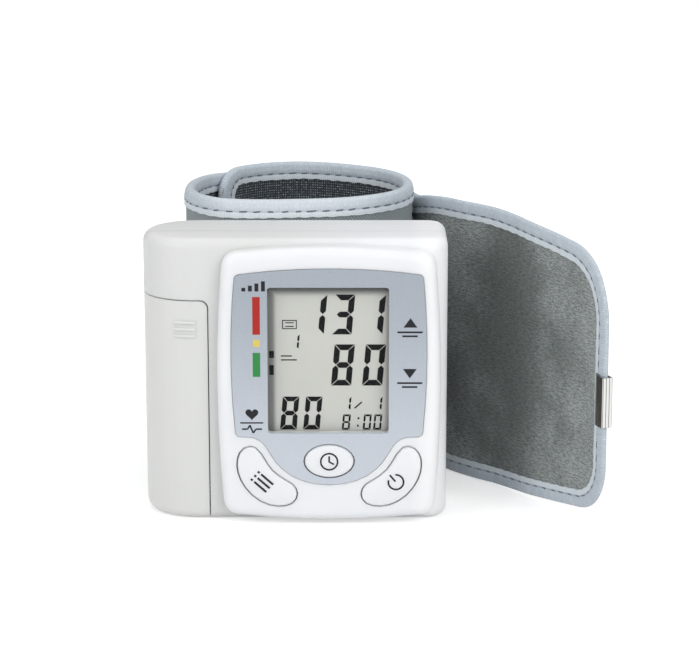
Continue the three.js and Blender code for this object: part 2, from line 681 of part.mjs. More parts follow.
// An upright prism whose plan is given along and across the free end's tip.
function tipPrism(outline, z0, z1) {
  const tip = stationAt(TAIL, TAIL_LENGTH, TAIL_LENGTH);
  const points = outline.map(([along, across]) => {
    const place = tip.point.clone().addScaledVector(tip.along, along).addScaledVector(tip.left, across);
    return new THREE.Vector2(place.x, place.y);
  });
  return planPrism(new THREE.Shape(points), z0, z1);
}

// Case

const caseOuter = planPrism(bodyOutline(0), 0, BODY_HEIGHT, EDGE_ROUNDING, 4);
const caseCavity = planPrism(bodyOutline(WALL), WALL, BODY_HEIGHT - WALL, EDGE_ROUNDING - WALL, 2);
const bezelFootY = -BODY_DEPTH / 2 + EDGE_ROUNDING + BEZEL_EDGE / 2;
const bezelBlock = frontPrism(bezelOutline(0, BEZEL_FLARE), bezelFootY, FRONT_Y, BEZEL_EDGE, 5);
const bezelCavity = frontPrism(bezelOutline(BEZEL_WALL), 2 * WALL - BODY_DEPTH / 2, BEZEL_INNER_Y);

// The end of the case that the battery cover takes: left of one seam and under another.
function coverZone(grow) {
  const right = COVER_SEAM_X + grow - BEZEL_CENTRE_X;
  const top = COVER_TOP_Z + grow;
  const shape = new THREE.Shape();
  shape.moveTo(-FAR, -FAR);
  shape.lineTo(right, -FAR);
  shape.lineTo(right, top - COVER_CORNER);
  shape.absarc(right - COVER_CORNER, top - COVER_CORNER, COVER_CORNER, 0, Math.PI / 2);
  shape.lineTo(-FAR, top);
  return frontPrism(shape, BODY_DEPTH, -BODY_DEPTH);
}

const bossPlaces = [];
for (const x of [-1, 1]) {
  for (const z of [BEZEL_LOW, BEZEL_HIGH]) {
    const inward = z === BEZEL_LOW ? 1 : -1;
    bossPlaces.push({
      x: BEZEL_CENTRE_X + x * (BEZEL_HALF_WIDTH - BOSS_INSET),
      z: z + inward * (BOSS_INSET + BOSS_RADIUS / 2),
    });
  }
}

const screwHeadY = BODY_BACK_Y - COUNTERBORE_DEPTH;

function frontShell() {
  const seamY = PARTING_Y - SEAM / 2;
  const frontHalf = caseOuter.subtract(box(-FAR, FAR, seamY, FAR, -FAR, FAR));
  const block = frontHalf.add(bezelBlock);
  const bosses = bossPlaces.map(({ x, z }) => rodY(x, z, BOSS_RADIUS, BEZEL_INNER_Y - WALL, seamY));
  const pilots = bossPlaces.map(({ x, z }) =>
    rodY(x, z, SCREW_RADIUS + FIT, screwHeadY - SCREW_LENGTH - FIT, BODY_DEPTH),
  );
  const label = new THREE.Shape(offsetOutline(labelPoints(), SEAT));
  const recess = frontPrism(label, FRONT_Y + LABEL_THICK + SEAT, FRONT_Y - BEZEL_RISE);
  const aperture = frontPrism(windowOutline(), BEZEL_INNER_Y + WALL, FRONT_Y - BEZEL_RISE);
  const keyHoles = KEYS.map(({ points }) =>
    frontPrism(new THREE.Shape(offsetOutline(points, FIT)), BEZEL_INNER_Y + WALL, FRONT_Y - BEZEL_RISE),
  );
  const hollow = without(block, [caseCavity, bezelCavity]);
  const withBosses = hollow.add(joined(bosses).intersect(block));
  return without(withBosses, [...pilots, recess, aperture, ...keyHoles, coverZone(SEAM)]);
}

function rearShell() {
  const seamY = PARTING_Y + SEAM / 2;
  const rearHalf = caseOuter.subtract(box(-FAR, FAR, -FAR, seamY, -FAR, FAR));
  const bosses = bossPlaces.map(({ x, z }) => rodY(x, z, BOSS_RADIUS, seamY, BODY_BACK_Y - WALL / 2));
  const boardBack = BOARD_FRONT_Y + BOARD_THICK + SEAT;
  const ribs = [BEZEL_CENTRE_X - BEAN_STEM_X, BEZEL_CENTRE_X + BEAN_STEM_X / 2].map((x) =>
    box(x, x + BOARD_RIB_THICK, boardBack, BODY_BACK_Y - WALL / 2, WALL + FIT, BOARD_LOW + BOARD_RIB_HEIGHT),
  );
  const holes = bossPlaces.flatMap(({ x, z }) => [
    rodY(x, z, SCREW_RADIUS + FIT, -BODY_DEPTH, BODY_DEPTH),
    rodY(x, z, SCREW_HEAD_RADIUS + FIT, screwHeadY, BODY_DEPTH),
  ]);
  const pegHoles = PEG_X.flatMap((x) => PEG_Z.map((z) => rodY(x, z, PEG_RADIUS + FIT, 0, BODY_DEPTH)));
  const port = rodY(CUFF_PORT_X, MANIFOLD_Z, NIPPLE_RADIUS + FIT + TUBE_WALL + FIT, 0, BODY_DEPTH);
  const hollow = rearHalf.subtract(caseCavity);
  return without(joined([hollow, ...bosses, ...ribs]), [...holes, ...pegHoles, port, coverZone(SEAM)]);
}

function batteryCover() {
  const wall = caseOuter.subtract(caseCavity).intersect(coverZone(0));
  const gripLeft = BODY_LEFT + GRIP_START;
  const gripRight = gripLeft + GRIP_LENGTH;
  const grips = [0, 1, 2].map((i) => {
    const z = COVER_TOP_Z - GRIP_TOP_MARGIN - i * GRIP_PITCH;
    const ring = planPrism(bodyOutline(-GRIP_PROUD), z - GRIP_HEIGHT / 2, z + GRIP_HEIGHT / 2);
    return ring.intersect(box(gripLeft, gripRight, -BODY_DEPTH, WALL - BODY_DEPTH / 2, 0, BODY_HEIGHT));
  });
  return joined([wall, ...grips.map((grip) => grip.subtract(caseCavity))]);
}

addPart("front_shell", frontShell(), WHITE);
addPart("rear_shell", rearShell(), WHITE);
addPart("battery_cover", batteryCover(), COVER_WHITE);

bossPlaces.forEach(({ x, z }, i) => {
  const head = rodY(x, z, SCREW_HEAD_RADIUS, screwHeadY, screwHeadY + SCREW_HEAD_HEIGHT);
  const shank = rodY(x, z, SCREW_RADIUS, screwHeadY - SCREW_LENGTH, screwHeadY + SCREW_HEAD_HEIGHT / 2);
  addPart(`case_screw_${i + 1}`, head.add(shank), STEEL);
});

// Panel, display and board

const windowLeft = BEZEL_CENTRE_X + WINDOW_SHIFT_X - WINDOW_WIDTH / 2;
const windowRight = windowLeft + WINDOW_WIDTH;
const labelBackY = FRONT_Y + LABEL_THICK + SEAT / 2;
const paneBackY = BEZEL_INNER_Y + SEAT + PANE_THICK;
const lcdFrontY = paneBackY + SEAT;
const lcdBackY = lcdFrontY + LCD_THICK;
const flangeFrontY = BEZEL_INNER_Y + FIT;
const flangeBackY = flangeFrontY + KEY_FLANGE_THICK;
const holderFrontY = flangeBackY + KEY_TRAVEL + FIT;

function labelPanel() {
  const panel = frontPrism(new THREE.Shape(labelPoints()), labelBackY, labelBackY - LABEL_THICK);
  const setupHole = new THREE.Shape(offsetOutline(setupPoints(), FIT));
  return without(panel, [windowOutline(), setupHole].map((hole) => frontPrism(hole, 0, FRONT_Y - BEZEL_RISE)));
}

function lcdBox(grow, backY, frontY) {
  const edge = LCD_MARGIN + grow;
  return box(windowLeft - edge, windowRight + edge, frontY, backY, WINDOW_LOW - edge, WINDOW_HIGH + edge);
}

function lcdHolder() {
  const frame = lcdBox(HOLDER_WALL + SEAT, BOARD_FRONT_Y - SEAT, holderFrontY);
  const pocket = lcdBox(SEAT, lcdBackY + SEAT, -BODY_DEPTH);
  return without(frame, [pocket, lcdBox(-HOLDER_LIP, 0, -BODY_DEPTH)]);
}

const zebraInset = HOLDER_LIP + SEAT - LCD_MARGIN;

function zebraStrip(z0) {
  const x0 = windowLeft + zebraInset;
  const x1 = windowRight - zebraInset;
  return box(x0, x1, lcdBackY + SEAT, BOARD_FRONT_Y - SEAT, z0, z0 + ZEBRA_WIDTH);
}

const pane = box(
  windowLeft - PANE_MARGIN, windowRight + PANE_MARGIN, BEZEL_INNER_Y + SEAT, paneBackY,
  WINDOW_LOW - PANE_MARGIN, WINDOW_HIGH + PANE_MARGIN,
);
const boardBackY = BOARD_FRONT_Y + BOARD_THICK;
addPart("label_panel", labelPanel(), SILVER_BLUE);
addPart("display_window", pane, CLEAR);
addPart("lcd_panel", lcdBox(0, lcdBackY, lcdFrontY), LCD_GREY);
addPart("lcd_holder", lcdHolder(), WHITE);
addPart("zebra_strip_top", zebraStrip(WINDOW_HIGH - zebraInset - ZEBRA_WIDTH), RUBBER);
addPart("zebra_strip_bottom", zebraStrip(WINDOW_LOW + zebraInset), RUBBER);
const board = box(BOARD_LEFT, BOARD_RIGHT, BOARD_FRONT_Y, boardBackY, BOARD_LOW, BOARD_HIGH);
addPart("main_board", board, BOARD_GREEN);

// Keys, each over its own switch

const switchFrontY = BOARD_FRONT_Y - SWITCH_HEIGHT - SEAT;
const plungerFrontY = switchFrontY - PLUNGER_PROUD;

for (const { name, points, x, z } of KEYS) {
  const stemX = BEZEL_CENTRE_X + x;
  const cap = frontPrism(new THREE.Shape(points), flangeBackY, FRONT_Y - KEY_PROUD, KEY_EDGE, 2);
  const flange = frontPrism(new THREE.Shape(offsetOutline(points, KEY_FLANGE)), flangeBackY, flangeFrontY);
  const stem = rodY(stemX, z, KEY_STEM_RADIUS, flangeFrontY, plungerFrontY - SEAT);
  addPart(`${name}_button`, joined([cap, flange, stem]), WHITE);
  const half = SWITCH_SIZE / 2;
  const body = box(stemX - half, stemX + half, switchFrontY, BOARD_FRONT_Y - SEAT, z - half, z + half);
  const bore = rodY(stemX, z, PLUNGER_RADIUS + FIT, -BODY_DEPTH, BOARD_FRONT_Y - 2 * SEAT - FIT);
  const plungerBackY = BOARD_FRONT_Y - 2 * SEAT - 2 * FIT - KEY_TRAVEL;
  addPart(`switch_${name}`, body.subtract(bore), BLACK);
  addPart(`plunger_${name}`, rodY(stemX, z, PLUNGER_RADIUS, plungerFrontY, plungerBackY), BLACK);
}

const buzzerY = boardBackY + SEAT;
addPart("buzzer", rodY(BUZZER_X, BUZZER_Z, BUZZER_RADIUS, buzzerY, buzzerY + BUZZER_HEIGHT), BLACK);

// Batteries

const trayLow = EDGE_ROUNDING + SEAT;
const trayTop = COVER_TOP_Z - SEAM - SEAT;
const shelfLow = trayLow + TRAY_WALL;
const shelfHigh = trayTop - TRAY_WALL;
const cellLength = shelfHigh - shelfLow - SPRING_HEIGHT - CELL_NUB_HEIGHT - CONTACT_THICK - 4 * SEAT;

function batteryHolder() {
  const block = planPrism(bodyOutline(WALL + FIT), trayLow, trayTop);
  const inner = planPrism(bodyOutline(WALL + FIT - SEAT), shelfLow, shelfHigh);
  const bay = inner.subtract(box(TRAY_BACK_X - TRAY_WALL, FAR, -FAR, FAR, -FAR, FAR));
  return without(block, [bay, box(TRAY_BACK_X, FAR, -FAR, FAR, -FAR, FAR)]);
}

// A cell on end, its nub up.
function cell(y, z, up) {
  const profile = [
    [0, 0], [CELL_RADIUS, 0], [CELL_RADIUS, cellLength], [CELL_NUB_RADIUS, cellLength],
    [CELL_NUB_RADIUS, cellLength + CELL_NUB_HEIGHT], [0, cellLength + CELL_NUB_HEIGHT],
  ].map(([r, h]) => new THREE.Vector2(r, h));
  const geometry = new THREE.LatheGeometry(profile, ROUND_SIDES);
  geometry.rotateX(up ? Math.PI / 2 : -Math.PI / 2);
  geometry.translate(LEFT_ROUND_X, y, z);
  return solidOf(geometry);
}

class Helix extends THREE.Curve {
  getPoint(t, target = new THREE.Vector3()) {
    const turn = 2 * Math.PI * SPRING_TURNS * t;
    const rise = SPRING_WIRE + (SPRING_HEIGHT - 2 * SPRING_WIRE) * t;
    return target.set(SPRING_RADIUS * Math.cos(turn), SPRING_RADIUS * Math.sin(turn), rise);
  }
}

function coilSpring(y, z) {
  const wire = new THREE.Shape().absarc(0, 0, SPRING_WIRE, 0, 2 * Math.PI);
  const geometry = new THREE.ExtrudeGeometry(wire, {
    steps: WIRE_STEPS_PER_TURN * SPRING_TURNS,
    curveSegments: WIRE_SEGMENTS,
    extrudePath: new Helix(),
  });
  geometry.translate(LEFT_ROUND_X, y, z);
  return solidOf(geometry);
}

function contactPlate(y, z) {
  const half = CONTACT_SIZE / 2;
  return box(LEFT_ROUND_X - half, LEFT_ROUND_X + half, y - half, y + half, z, z + CONTACT_THICK);
}

const frontCellLow = shelfLow + 2 * SEAT + SPRING_HEIGHT;
const rearCellHigh = shelfHigh - 2 * SEAT - SPRING_HEIGHT;
addPart("battery_holder", batteryHolder(), BLACK);
addPart("battery_1", cell(-CELL_SPREAD, frontCellLow, true), CELL_JACKET);
addPart("battery_2", cell(CELL_SPREAD, rearCellHigh, false), CELL_JACKET);
addPart("battery_spring_1", coilSpring(-CELL_SPREAD, shelfLow + SEAT), STEEL);
addPart("battery_spring_2", coilSpring(CELL_SPREAD, shelfHigh - SEAT - SPRING_HEIGHT), STEEL);
addPart("battery_contact_1", contactPlate(-CELL_SPREAD, shelfHigh - SEAT - CONTACT_THICK), STEEL);
addPart("battery_contact_2", contactPlate(CELL_SPREAD, shelfLow + SEAT), STEEL);

// Air system

const motorTop = PUMP_LOW + MOTOR_LENGTH;
const headLow = motorTop + SEAT;
const headHigh = headLow + PUMP_HEAD_HEIGHT;
const crankLow = headLow + FIT;
const crankTop = crankLow + CRANK_THICK;
const pinTop = crankTop + CRANK_PIN_HEIGHT;

function pumpHead() {
  const cup = rodZ(PUMP_X, PUMP_Y, PUMP_HEAD_RADIUS, headLow, headHigh);
  const chamber = rodZ(PUMP_X, PUMP_Y, CRANK_RADIUS + 2 * FIT, 0, pinTop + FIT);
  const nipple = rodZ(PUMP_X, PUMP_Y, NIPPLE_RADIUS, headHigh - WALL, headHigh + NIPPLE_LENGTH);
  return cup.subtract(chamber).add(nipple);
}

function pumpCrank() {
  const disc = rodZ(PUMP_X, PUMP_Y, CRANK_RADIUS, crankLow, crankTop);
  const pin = rodZ(PUMP_X + CRANK_THROW, PUMP_Y, CRANK_PIN_RADIUS, crankLow, pinTop);
  const shaft = rodZ(PUMP_X, PUMP_Y, SHAFT_RADIUS, motorTop - SHAFT_LENGTH, crankTop);
  return joined([disc, pin, shaft]);
}

const motor = rodZ(PUMP_X, PUMP_Y, MOTOR_RADIUS, PUMP_LOW, motorTop);
const shaftBore = rodZ(PUMP_X, PUMP_Y, SHAFT_RADIUS + FIT, motorTop - SHAFT_LENGTH - FIT, motorTop + WALL);
const sleeveLow = PUMP_LOW + (MOTOR_LENGTH - SLEEVE_LENGTH) / 2;
const sleeveInner = SLEEVE_RADIUS - SLEEVE_WALL;
const sleeve = rodZ(PUMP_X, PUMP_Y, SLEEVE_RADIUS, sleeveLow, sleeveLow + SLEEVE_LENGTH);
const sleeveBore = rodZ(PUMP_X, PUMP_Y, sleeveInner, 0, BODY_HEIGHT);
addPart("pump_motor", motor.subtract(shaftBore), STEEL);
addPart("pump_sleeve", sleeve.subtract(sleeveBore), RUBBER);
addPart("pump_head", pumpHead(), BLACK);
addPart("pump_crank", pumpCrank(), STEEL);

// A pipe along X with a nipple for each tube.
const MANIFOLD_Y = 0;
const manifoldLow = MANIFOLD_Z - MANIFOLD_RADIUS;

function airManifold() {
  const pipe = rodX(MANIFOLD_Y, MANIFOLD_Z, MANIFOLD_RADIUS, MANIFOLD_LEFT, MANIFOLD_RIGHT);
  const drops = [VALVE_X, SENSOR_X].map((x) =>
    rodZ(x, MANIFOLD_Y, NIPPLE_RADIUS, manifoldLow - NIPPLE_LENGTH / 2, MANIFOLD_Z),
  );
  const inletEnd = MANIFOLD_RIGHT + NIPPLE_LENGTH;
  const outletEnd = MANIFOLD_Y + MANIFOLD_RADIUS + NIPPLE_LENGTH;
  const inlet = rodX(MANIFOLD_Y, MANIFOLD_Z, NIPPLE_RADIUS, MANIFOLD_RIGHT - WALL, inletEnd);
  const outlet = rodY(CUFF_PORT_X, MANIFOLD_Z, NIPPLE_RADIUS, MANIFOLD_Y, outletEnd);
  return joined([pipe, ...drops, inlet, outlet]);
}

// Soft tube with its bore along a curve.
function softTube(curve, steps) {
  const bore = NIPPLE_RADIUS + FIT;
  const ring = new THREE.Shape().absarc(0, 0, bore + TUBE_WALL, 0, 2 * Math.PI);
  ring.holes.push(new THREE.Path().absarc(0, 0, bore, 0, 2 * Math.PI));
  const options = { steps, curveSegments: TUBE_SEGMENTS, extrudePath: curve };
  return solidOf(new THREE.ExtrudeGeometry(ring, options));
}

function dropTube(x, length) {
  const top = new THREE.Vector3(x, MANIFOLD_Y, manifoldLow - SEAT);
  const foot = top.clone().setZ(top.z - length);
  return new THREE.LineCurve3(top, foot);
}

const valveHigh = manifoldLow - VALVE_TUBE - 2 * SEAT;
const valveLow = valveHigh - VALVE_HEIGHT;
const sensorHigh = manifoldLow - SENSOR_TUBE - 2 * SEAT;
const valveHalf = VALVE_SIZE / 2;
const sensorHalf = SENSOR_SIZE / 2;
const valveBoreTop = valveLow + VALVE_PLUNGER_LENGTH / 2 + VALVE_TRAVEL + FIT;

function exhaustValve() {
  const block = box(VALVE_X - valveHalf, VALVE_X + valveHalf, -valveHalf, valveHalf, valveLow, valveHigh);
  const nipple = rodZ(VALVE_X, MANIFOLD_Y, NIPPLE_RADIUS, valveHigh - WALL, valveHigh + NIPPLE_LENGTH / 3);
  return block.subtract(rodZ(VALVE_X, MANIFOLD_Y, VALVE_BORE + FIT, 0, valveBoreTop)).add(nipple);
}

function pressureSensor() {
  const back = boardBackY + SEAT;
  const block = box(
    SENSOR_X - sensorHalf, SENSOR_X + sensorHalf, back, back + SENSOR_SIZE + NIPPLE_RADIUS,
    sensorHigh - SENSOR_HEIGHT, sensorHigh,
  );
  return block.add(rodZ(SENSOR_X, MANIFOLD_Y, NIPPLE_RADIUS, sensorHigh - WALL, sensorHigh + NIPPLE_LENGTH));
}

const plungerLow = valveLow - VALVE_PLUNGER_LENGTH / 2;
const plungerHigh = plungerLow + VALVE_PLUNGER_LENGTH;
const pumpTubePath = new THREE.CatmullRomCurve3([
  new THREE.Vector3(PUMP_X, PUMP_Y, headHigh + SEAT),
  new THREE.Vector3(PUMP_X, PUMP_Y, headHigh + NIPPLE_LENGTH),
  new THREE.Vector3(PUMP_X - NIPPLE_LENGTH, (PUMP_Y + MANIFOLD_Y) / 2, MANIFOLD_Z - SEAT),
  new THREE.Vector3(MANIFOLD_RIGHT + NIPPLE_LENGTH, MANIFOLD_Y, MANIFOLD_Z),
  new THREE.Vector3(MANIFOLD_RIGHT + SEAT, MANIFOLD_Y, MANIFOLD_Z),
]);
addPart("air_manifold", airManifold(), SILICONE);
addPart("tube_pump", softTube(pumpTubePath, TUBE_STEPS), SILICONE);
addPart("tube_valve", softTube(dropTube(VALVE_X, VALVE_TUBE), 1), SILICONE);
addPart("tube_sensor", softTube(dropTube(SENSOR_X, SENSOR_TUBE), 1), SILICONE);
addPart("exhaust_valve", exhaustValve(), STEEL);
addPart("valve_plunger", rodZ(VALVE_X, MANIFOLD_Y, VALVE_BORE, plungerLow, plungerHigh), STEEL);
addPart("pressure_sensor", pressureSensor(), BLACK);

// Cuff loop, from the inside out: lining, bladder, stiffener, woven face

const liningOuter = LINING - CUFF_HALF;
const bladderInner = liningOuter + LAYER_GAP;
const stiffenerInner = bladderInner + BLADDER + LAYER_GAP;
const fabricInner = CUFF_HALF - FABRIC;
const edgeInset = TAPE + SEAT;
const innerLength = BLADDER_SHARE * INNER_TURN_LENGTH;
const padStart = innerLength + PADDING_GAP;
const portRadius = NIPPLE_RADIUS + FIT + TUBE_WALL;
const portEndY = loopFrontAt(CUFF_PORT_X) - bladderInner - BLADDER - FIT;

function wallHoles(grow) {
  const farY = LOOP_FRONT_Y + CUFF_CORE;
  const port = rodY(CUFF_PORT_X, MANIFOLD_Z, portRadius + grow, 0, farY);
  const pegs = PEG_X.flatMap((x) => PEG_Z.map((z) => rodY(x, z, PEG_RADIUS + grow, 0, farY)));
  return { port, pegs };
}

function cuffStiffener() {
  const outer = stiffenerInner + STIFFENER;
  const sheet = loopSheet(stiffenerInner, outer, STIFFENER_INSET, STIFFENER_INSET, innerLength);
  const root = (x) => loopFrontAt(x) - stiffenerInner - STIFFENER / 2;
  const tip = BODY_BACK_Y - WALL - 2 * FIT;
  const pegs = PEG_X.flatMap((x) => PEG_Z.map((z) => rodY(x, z, PEG_RADIUS, tip, root(x))));
  return joined([sheet.subtract(wallHoles(FIT).port), ...pegs]);
}

function cuffFace() {
  const holes = wallHoles(FIT);
  return without(loopSheet(fabricInner, CUFF_HALF, edgeInset), [holes.port, ...holes.pegs]);
}

function endBinding() {
  const outline = [
    [TAPE_WIDTH, TAPE_OUTER], [TAPE_WIDTH, TAPE_INNER], [-SEAT, TAPE_INNER], [-SEAT, -TAPE_INNER],
    [TAPE_WIDTH, -TAPE_INNER], [TAPE_WIDTH, -TAPE_OUTER],
    [-SEAT - TAPE, -TAPE_OUTER], [-SEAT - TAPE, TAPE_OUTER],
  ];
  const points = outline.map(([along, across]) => {
    const place = stationAt(LOOP, LOOP_LENGTH, along);
    const at = place.point.clone().addScaledVector(place.left, across);
    return new THREE.Vector2(at.x, at.y);
  });
  const clear = TAPE_WIDTH + SEAT;
  return planPrism(new THREE.Shape(points), loopLow(0) + clear, loopTop(0) - clear);
}

addPart("cuff_lining", loopSheet(-CUFF_HALF, liningOuter, edgeInset), MESH_DARK);
addPart(
  "cuff_bladder",
  loopSheet(bladderInner, bladderInner + BLADDER, BLADDER_INSET, BLADDER_INSET, innerLength),
  RUBBER,
);
addPart("cuff_stiffener", cuffStiffener(), BLACK);
const padding = loopSheet(bladderInner, fabricInner - LAYER_GAP, TAPE_WIDTH, padStart, LOOP_LENGTH);
addPart("cuff_padding", padding, FOAM);
addPart("cuff_outer_fabric", cuffFace(), CLOTH_GREY);
addPart("cuff_binding_top", foldedTape(loopTop, -1), TAPE_BLUE);
addPart("cuff_binding_bottom", foldedTape(loopLow, 1), TAPE_BLUE);
addPart("cuff_binding_end", endBinding(), TAPE_BLUE);

const hookInner = CUFF_HALF + SEAT;
addPart(
  "hook_patch",
  loopSheet(hookInner, hookInner + HOOK_THICK, HOOK_INSET, HOOK_START, HOOK_START + HOOK_LENGTH),
  HOOK_GREY,
);

const portStartY = MANIFOLD_Y + MANIFOLD_RADIUS + SEAT;
const portLine = new THREE.LineCurve3(
  new THREE.Vector3(CUFF_PORT_X, portStartY, MANIFOLD_Z),
  new THREE.Vector3(CUFF_PORT_X, portEndY, MANIFOLD_Z),
);
addPart("cuff_nipple", softTube(portLine, 1), SILICONE);

// Free end of the cuff

const slotOutline = [
  [-RING_REACH, -2 * TAIL_TAPE_OUTER], [-RING_REACH, 2 * TAIL_TAPE_OUTER],
  [-RING_REACH - SLOT_LENGTH, 2 * TAIL_TAPE_OUTER], [-RING_REACH - SLOT_LENGTH, -2 * TAIL_TAPE_OUTER],
];
const ringSlot = tipPrism(slotOutline, RING_LOW - FIT, RING_LOW + RING_HEIGHT + FIT);
const tailEdge = TAIL_TAPE + SEAT;

function tailLayer(inner, outer) {
  const reach = Math.max(Math.abs(inner), Math.abs(outer));
  return tailSlab(inner, outer, tailEdge, rootStart(reach)).subtract(ringSlot);
}

function tailBinding() {
  const start = rootStart(TAIL_TAPE_OUTER);
  const whole = tailSlab(-TAIL_TAPE_OUTER, TAIL_TAPE_OUTER, 0, start);
  const slit = tailSlab(-TAIL_TAPE_INNER, TAIL_TAPE_INNER, TAIL_TAPE, start - TAPE_WIDTH);
  const middle = tailSlab(-2 * TAIL_TAPE_OUTER, 2 * TAIL_TAPE_OUTER, TAPE_WIDTH, start - TAPE_WIDTH);
  return without(whole, [slit, middle, ringSlot]);
}

// A flat metal loop through the slot and round the edge of the free end.
function pullRing() {
  const across = TAIL_TAPE_OUTER + RING_FIT;
  const far = across + RING_WALL;
  const reach = RING_REACH + RING_FIT;
  const loopOf = (front, back, half) => [[front, -half], [front, half], [back, half], [back, -half]];
  const outline = loopOf(RING_FIT + RING_WALL, -reach - RING_WALL, far);
  const outer = tipPrism(outline, RING_LOW, RING_LOW + RING_HEIGHT);
  const inner = tipPrism(loopOf(RING_FIT, -reach, across), 0, LOOP_TOP);
  return outer.subtract(inner);
}

addPart("tail_pile_lining", tailLayer(-TAIL_HALF, TAIL_PILE - TAIL_HALF), PILE_GREEN);
addPart("tail_core", tailLayer(TAIL_PILE - TAIL_HALF + LAYER_GAP, TAIL_HALF - TAIL_FABRIC - LAYER_GAP), FOAM);
addPart("tail_outer_fabric", tailLayer(TAIL_HALF - TAIL_FABRIC, TAIL_HALF), CLOTH_GREY);
addPart("tail_binding", tailBinding(), TAPE_BLUE);
addPart("pull_ring", pullRing(), NICKEL);

export default monitor;
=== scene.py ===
"""Looks of a wrist blood pressure monitor: cloth cuff, print, materials, light and camera."""

import json
import math

import bmesh
import bpy
import numpy as np
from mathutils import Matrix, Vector, noise


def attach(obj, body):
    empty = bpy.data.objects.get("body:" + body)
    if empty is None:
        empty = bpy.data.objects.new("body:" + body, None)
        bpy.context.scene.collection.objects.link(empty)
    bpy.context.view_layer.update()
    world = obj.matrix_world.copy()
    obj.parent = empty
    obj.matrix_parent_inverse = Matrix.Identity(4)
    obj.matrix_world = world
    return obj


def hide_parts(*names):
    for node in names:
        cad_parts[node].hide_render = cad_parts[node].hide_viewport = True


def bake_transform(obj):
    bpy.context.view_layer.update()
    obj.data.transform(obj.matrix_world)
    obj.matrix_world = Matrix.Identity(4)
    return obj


MM = 0.001

# Cuff loop, in millimetres: a strip on edge that goes round once and then overlaps itself.
LOOP_CENTRE_X = 0.45
LOOP_HALF_WIDTH = 28.65
LOOP_DEPTH = 54.4
LOOP_FRONT_Y = 14.875
LOOP_TOP = 76.5
LOOP_CORNER = 8
LOOP_DROP = 5.2
LOOP_DROP_START = 0.8
TURN_PITCH = 3.6
LOOP_SHARES = [
    (-0.766, 0.742), (-0.609, 0.848), (-0.382, 0.95), (-0.051, 1), (0.264, 0.968), (0.525, 0.9),
    (0.745, 0.813), (0.892, 0.71), (0.976, 0.589), (1, 0.47), (0.972, 0.35), (0.867, 0.222),
    (0.665, 0.117), (0.368, 0.041), (-0.012, 0.008), (-0.4, 0), (-0.679, 0.03), (-0.874, 0.133),
    (-0.983, 0.286), (-1, 0.46), (-0.965, 0.626),
]
OUTER_TURN_POINTS = 9
INNER_TURN_SPANS = len(LOOP_SHARES) - 1
TURN_SHARE = INNER_TURN_SPANS / (INNER_TURN_SPANS + OUTER_TURN_POINTS)
CURVE_STEPS = 80

# Cuff layers, as offsets from the middle of the strip.
CUFF_HALF = 1.125
FACE_CLOTH = 0.45
LINING_CLOTH = 0.45
PAD_INNER = -0.62
PAD_OUTER = 0.0
TAPE_OUTER = 1.575
TAPE_THICK = 0.35
TAPE_WIDTH = 4.6
TAPE_SCALLOP = 0.018
TAPE_PUFF = 0.1
SEAM_REACH = 0.45
SEAM_DRAW = 0.2
SEAM_PUCKER = 0.25
HOOK_THICK = 0.6
HOOK_LIFT = 0.12
HOOK_INSET = 10.5
HOOK_START = 8
HOOK_LENGTH = 70

# Cloth: how it keeps back from its edges, thins at them and bulges between them.
CLOTH_INSET = 0.5
CLOTH_END_INSET = 0.35
EDGE_PINCH = 0.66
PINCH_DEPTH = 2.6
CROWN_POWER = 0.6
EDGE_STEP = 0.7

# Free end, from the hinge at the end of the loop.
HINGE = (32.363, 46.627)
HINGE_GAP = 1.3
HINGE_LAP = 0.5
FOLD_REACH = 2.4
TAIL_POINTS = [
    (0, 0), (1.1, -5), (3.4, -9.7), (6.4, -14.5), (9.8, -19.3), (13.8, -23.7), (19, -29.1),
    (23.1, -34.9), (27.4, -42), (32.7, -49.6), (38.3, -58), (41.6, -63.8), (44.1, -70.1),
]
TAIL_ROOT_TOP = 71.3
TAIL_TOP_RISE = 2.7
TAIL_RISE_LENGTH = 22
TAIL_TOP_FALL = 6
TAIL_TAPER_START = 0.35
TAIL_TAPER_POWER = 1.6
TAIL_LOW_RISE = 4.6
TAIL_LOW_CORNER = 12
TAIL_TOP_CORNER = 16
TAIL_HALF = 0.55
TAIL_CLOTH = 0.3
TAIL_TAPE_OUTER = 0.85
TAIL_TAPE_THICK = 0.2
TAIL_EASE = 9
ROOT_TAPE_SHARE = 0.98
RING_LOW = 27
RING_HEIGHT = 12.7
SLOT_FROM_TIP = 2
SLOT_LENGTH = 2.4
SLOT_ROOM = 0.3
SLOT_CUT = 4

# Stitches.
STITCH_DEPTH = 3.0
STITCH_PITCH = 3.45
STITCH_LENGTH = 2.0
STITCH_RADIUS = 0.21
STITCH_DIP = 0.16
STITCH_SINK = 0.1
STITCH_SLOPE = 0.14
STITCH_LENGTH_PLAY = 0.45
STITCH_PLACE_PLAY = 0.4
STITCH_SLOPE_PLAY = 0.3
STITCH_FREE_REACH = 6
STITCH_FREE_MARGIN = 2.5

# Display and print.
LCD_FACE_Y = -14.8
LABEL_FACE_Y = -17.95
KEY_FACE_Y = -18.4
PRINT_THICK = 0.02
FIGURE_LIFT = 0.02
DIGIT_SLANT = 0.09
ARC_STEPS = 24
SCALE_X = -9.25

# Camera, fitted to the photograph.
CAMERA_PLACE = (13.522, -633.7, 203.06)
CAMERA_TILT = 76
CAMERA_LENS = 133.39
CAMERA_SENSOR = 36

# Floor and surroundings.
FLOOR_REACH = 6
FLOOR_DROP = 0.0002
FLOOR_GLOW = 0.42
SKY_LIGHT = 0.52

# Shading.
SMOOTH_ANGLE = 33
WELD_DISTANCE = 1e-6
NOISE_LOW, NOISE_HIGH = 0.3, 0.7


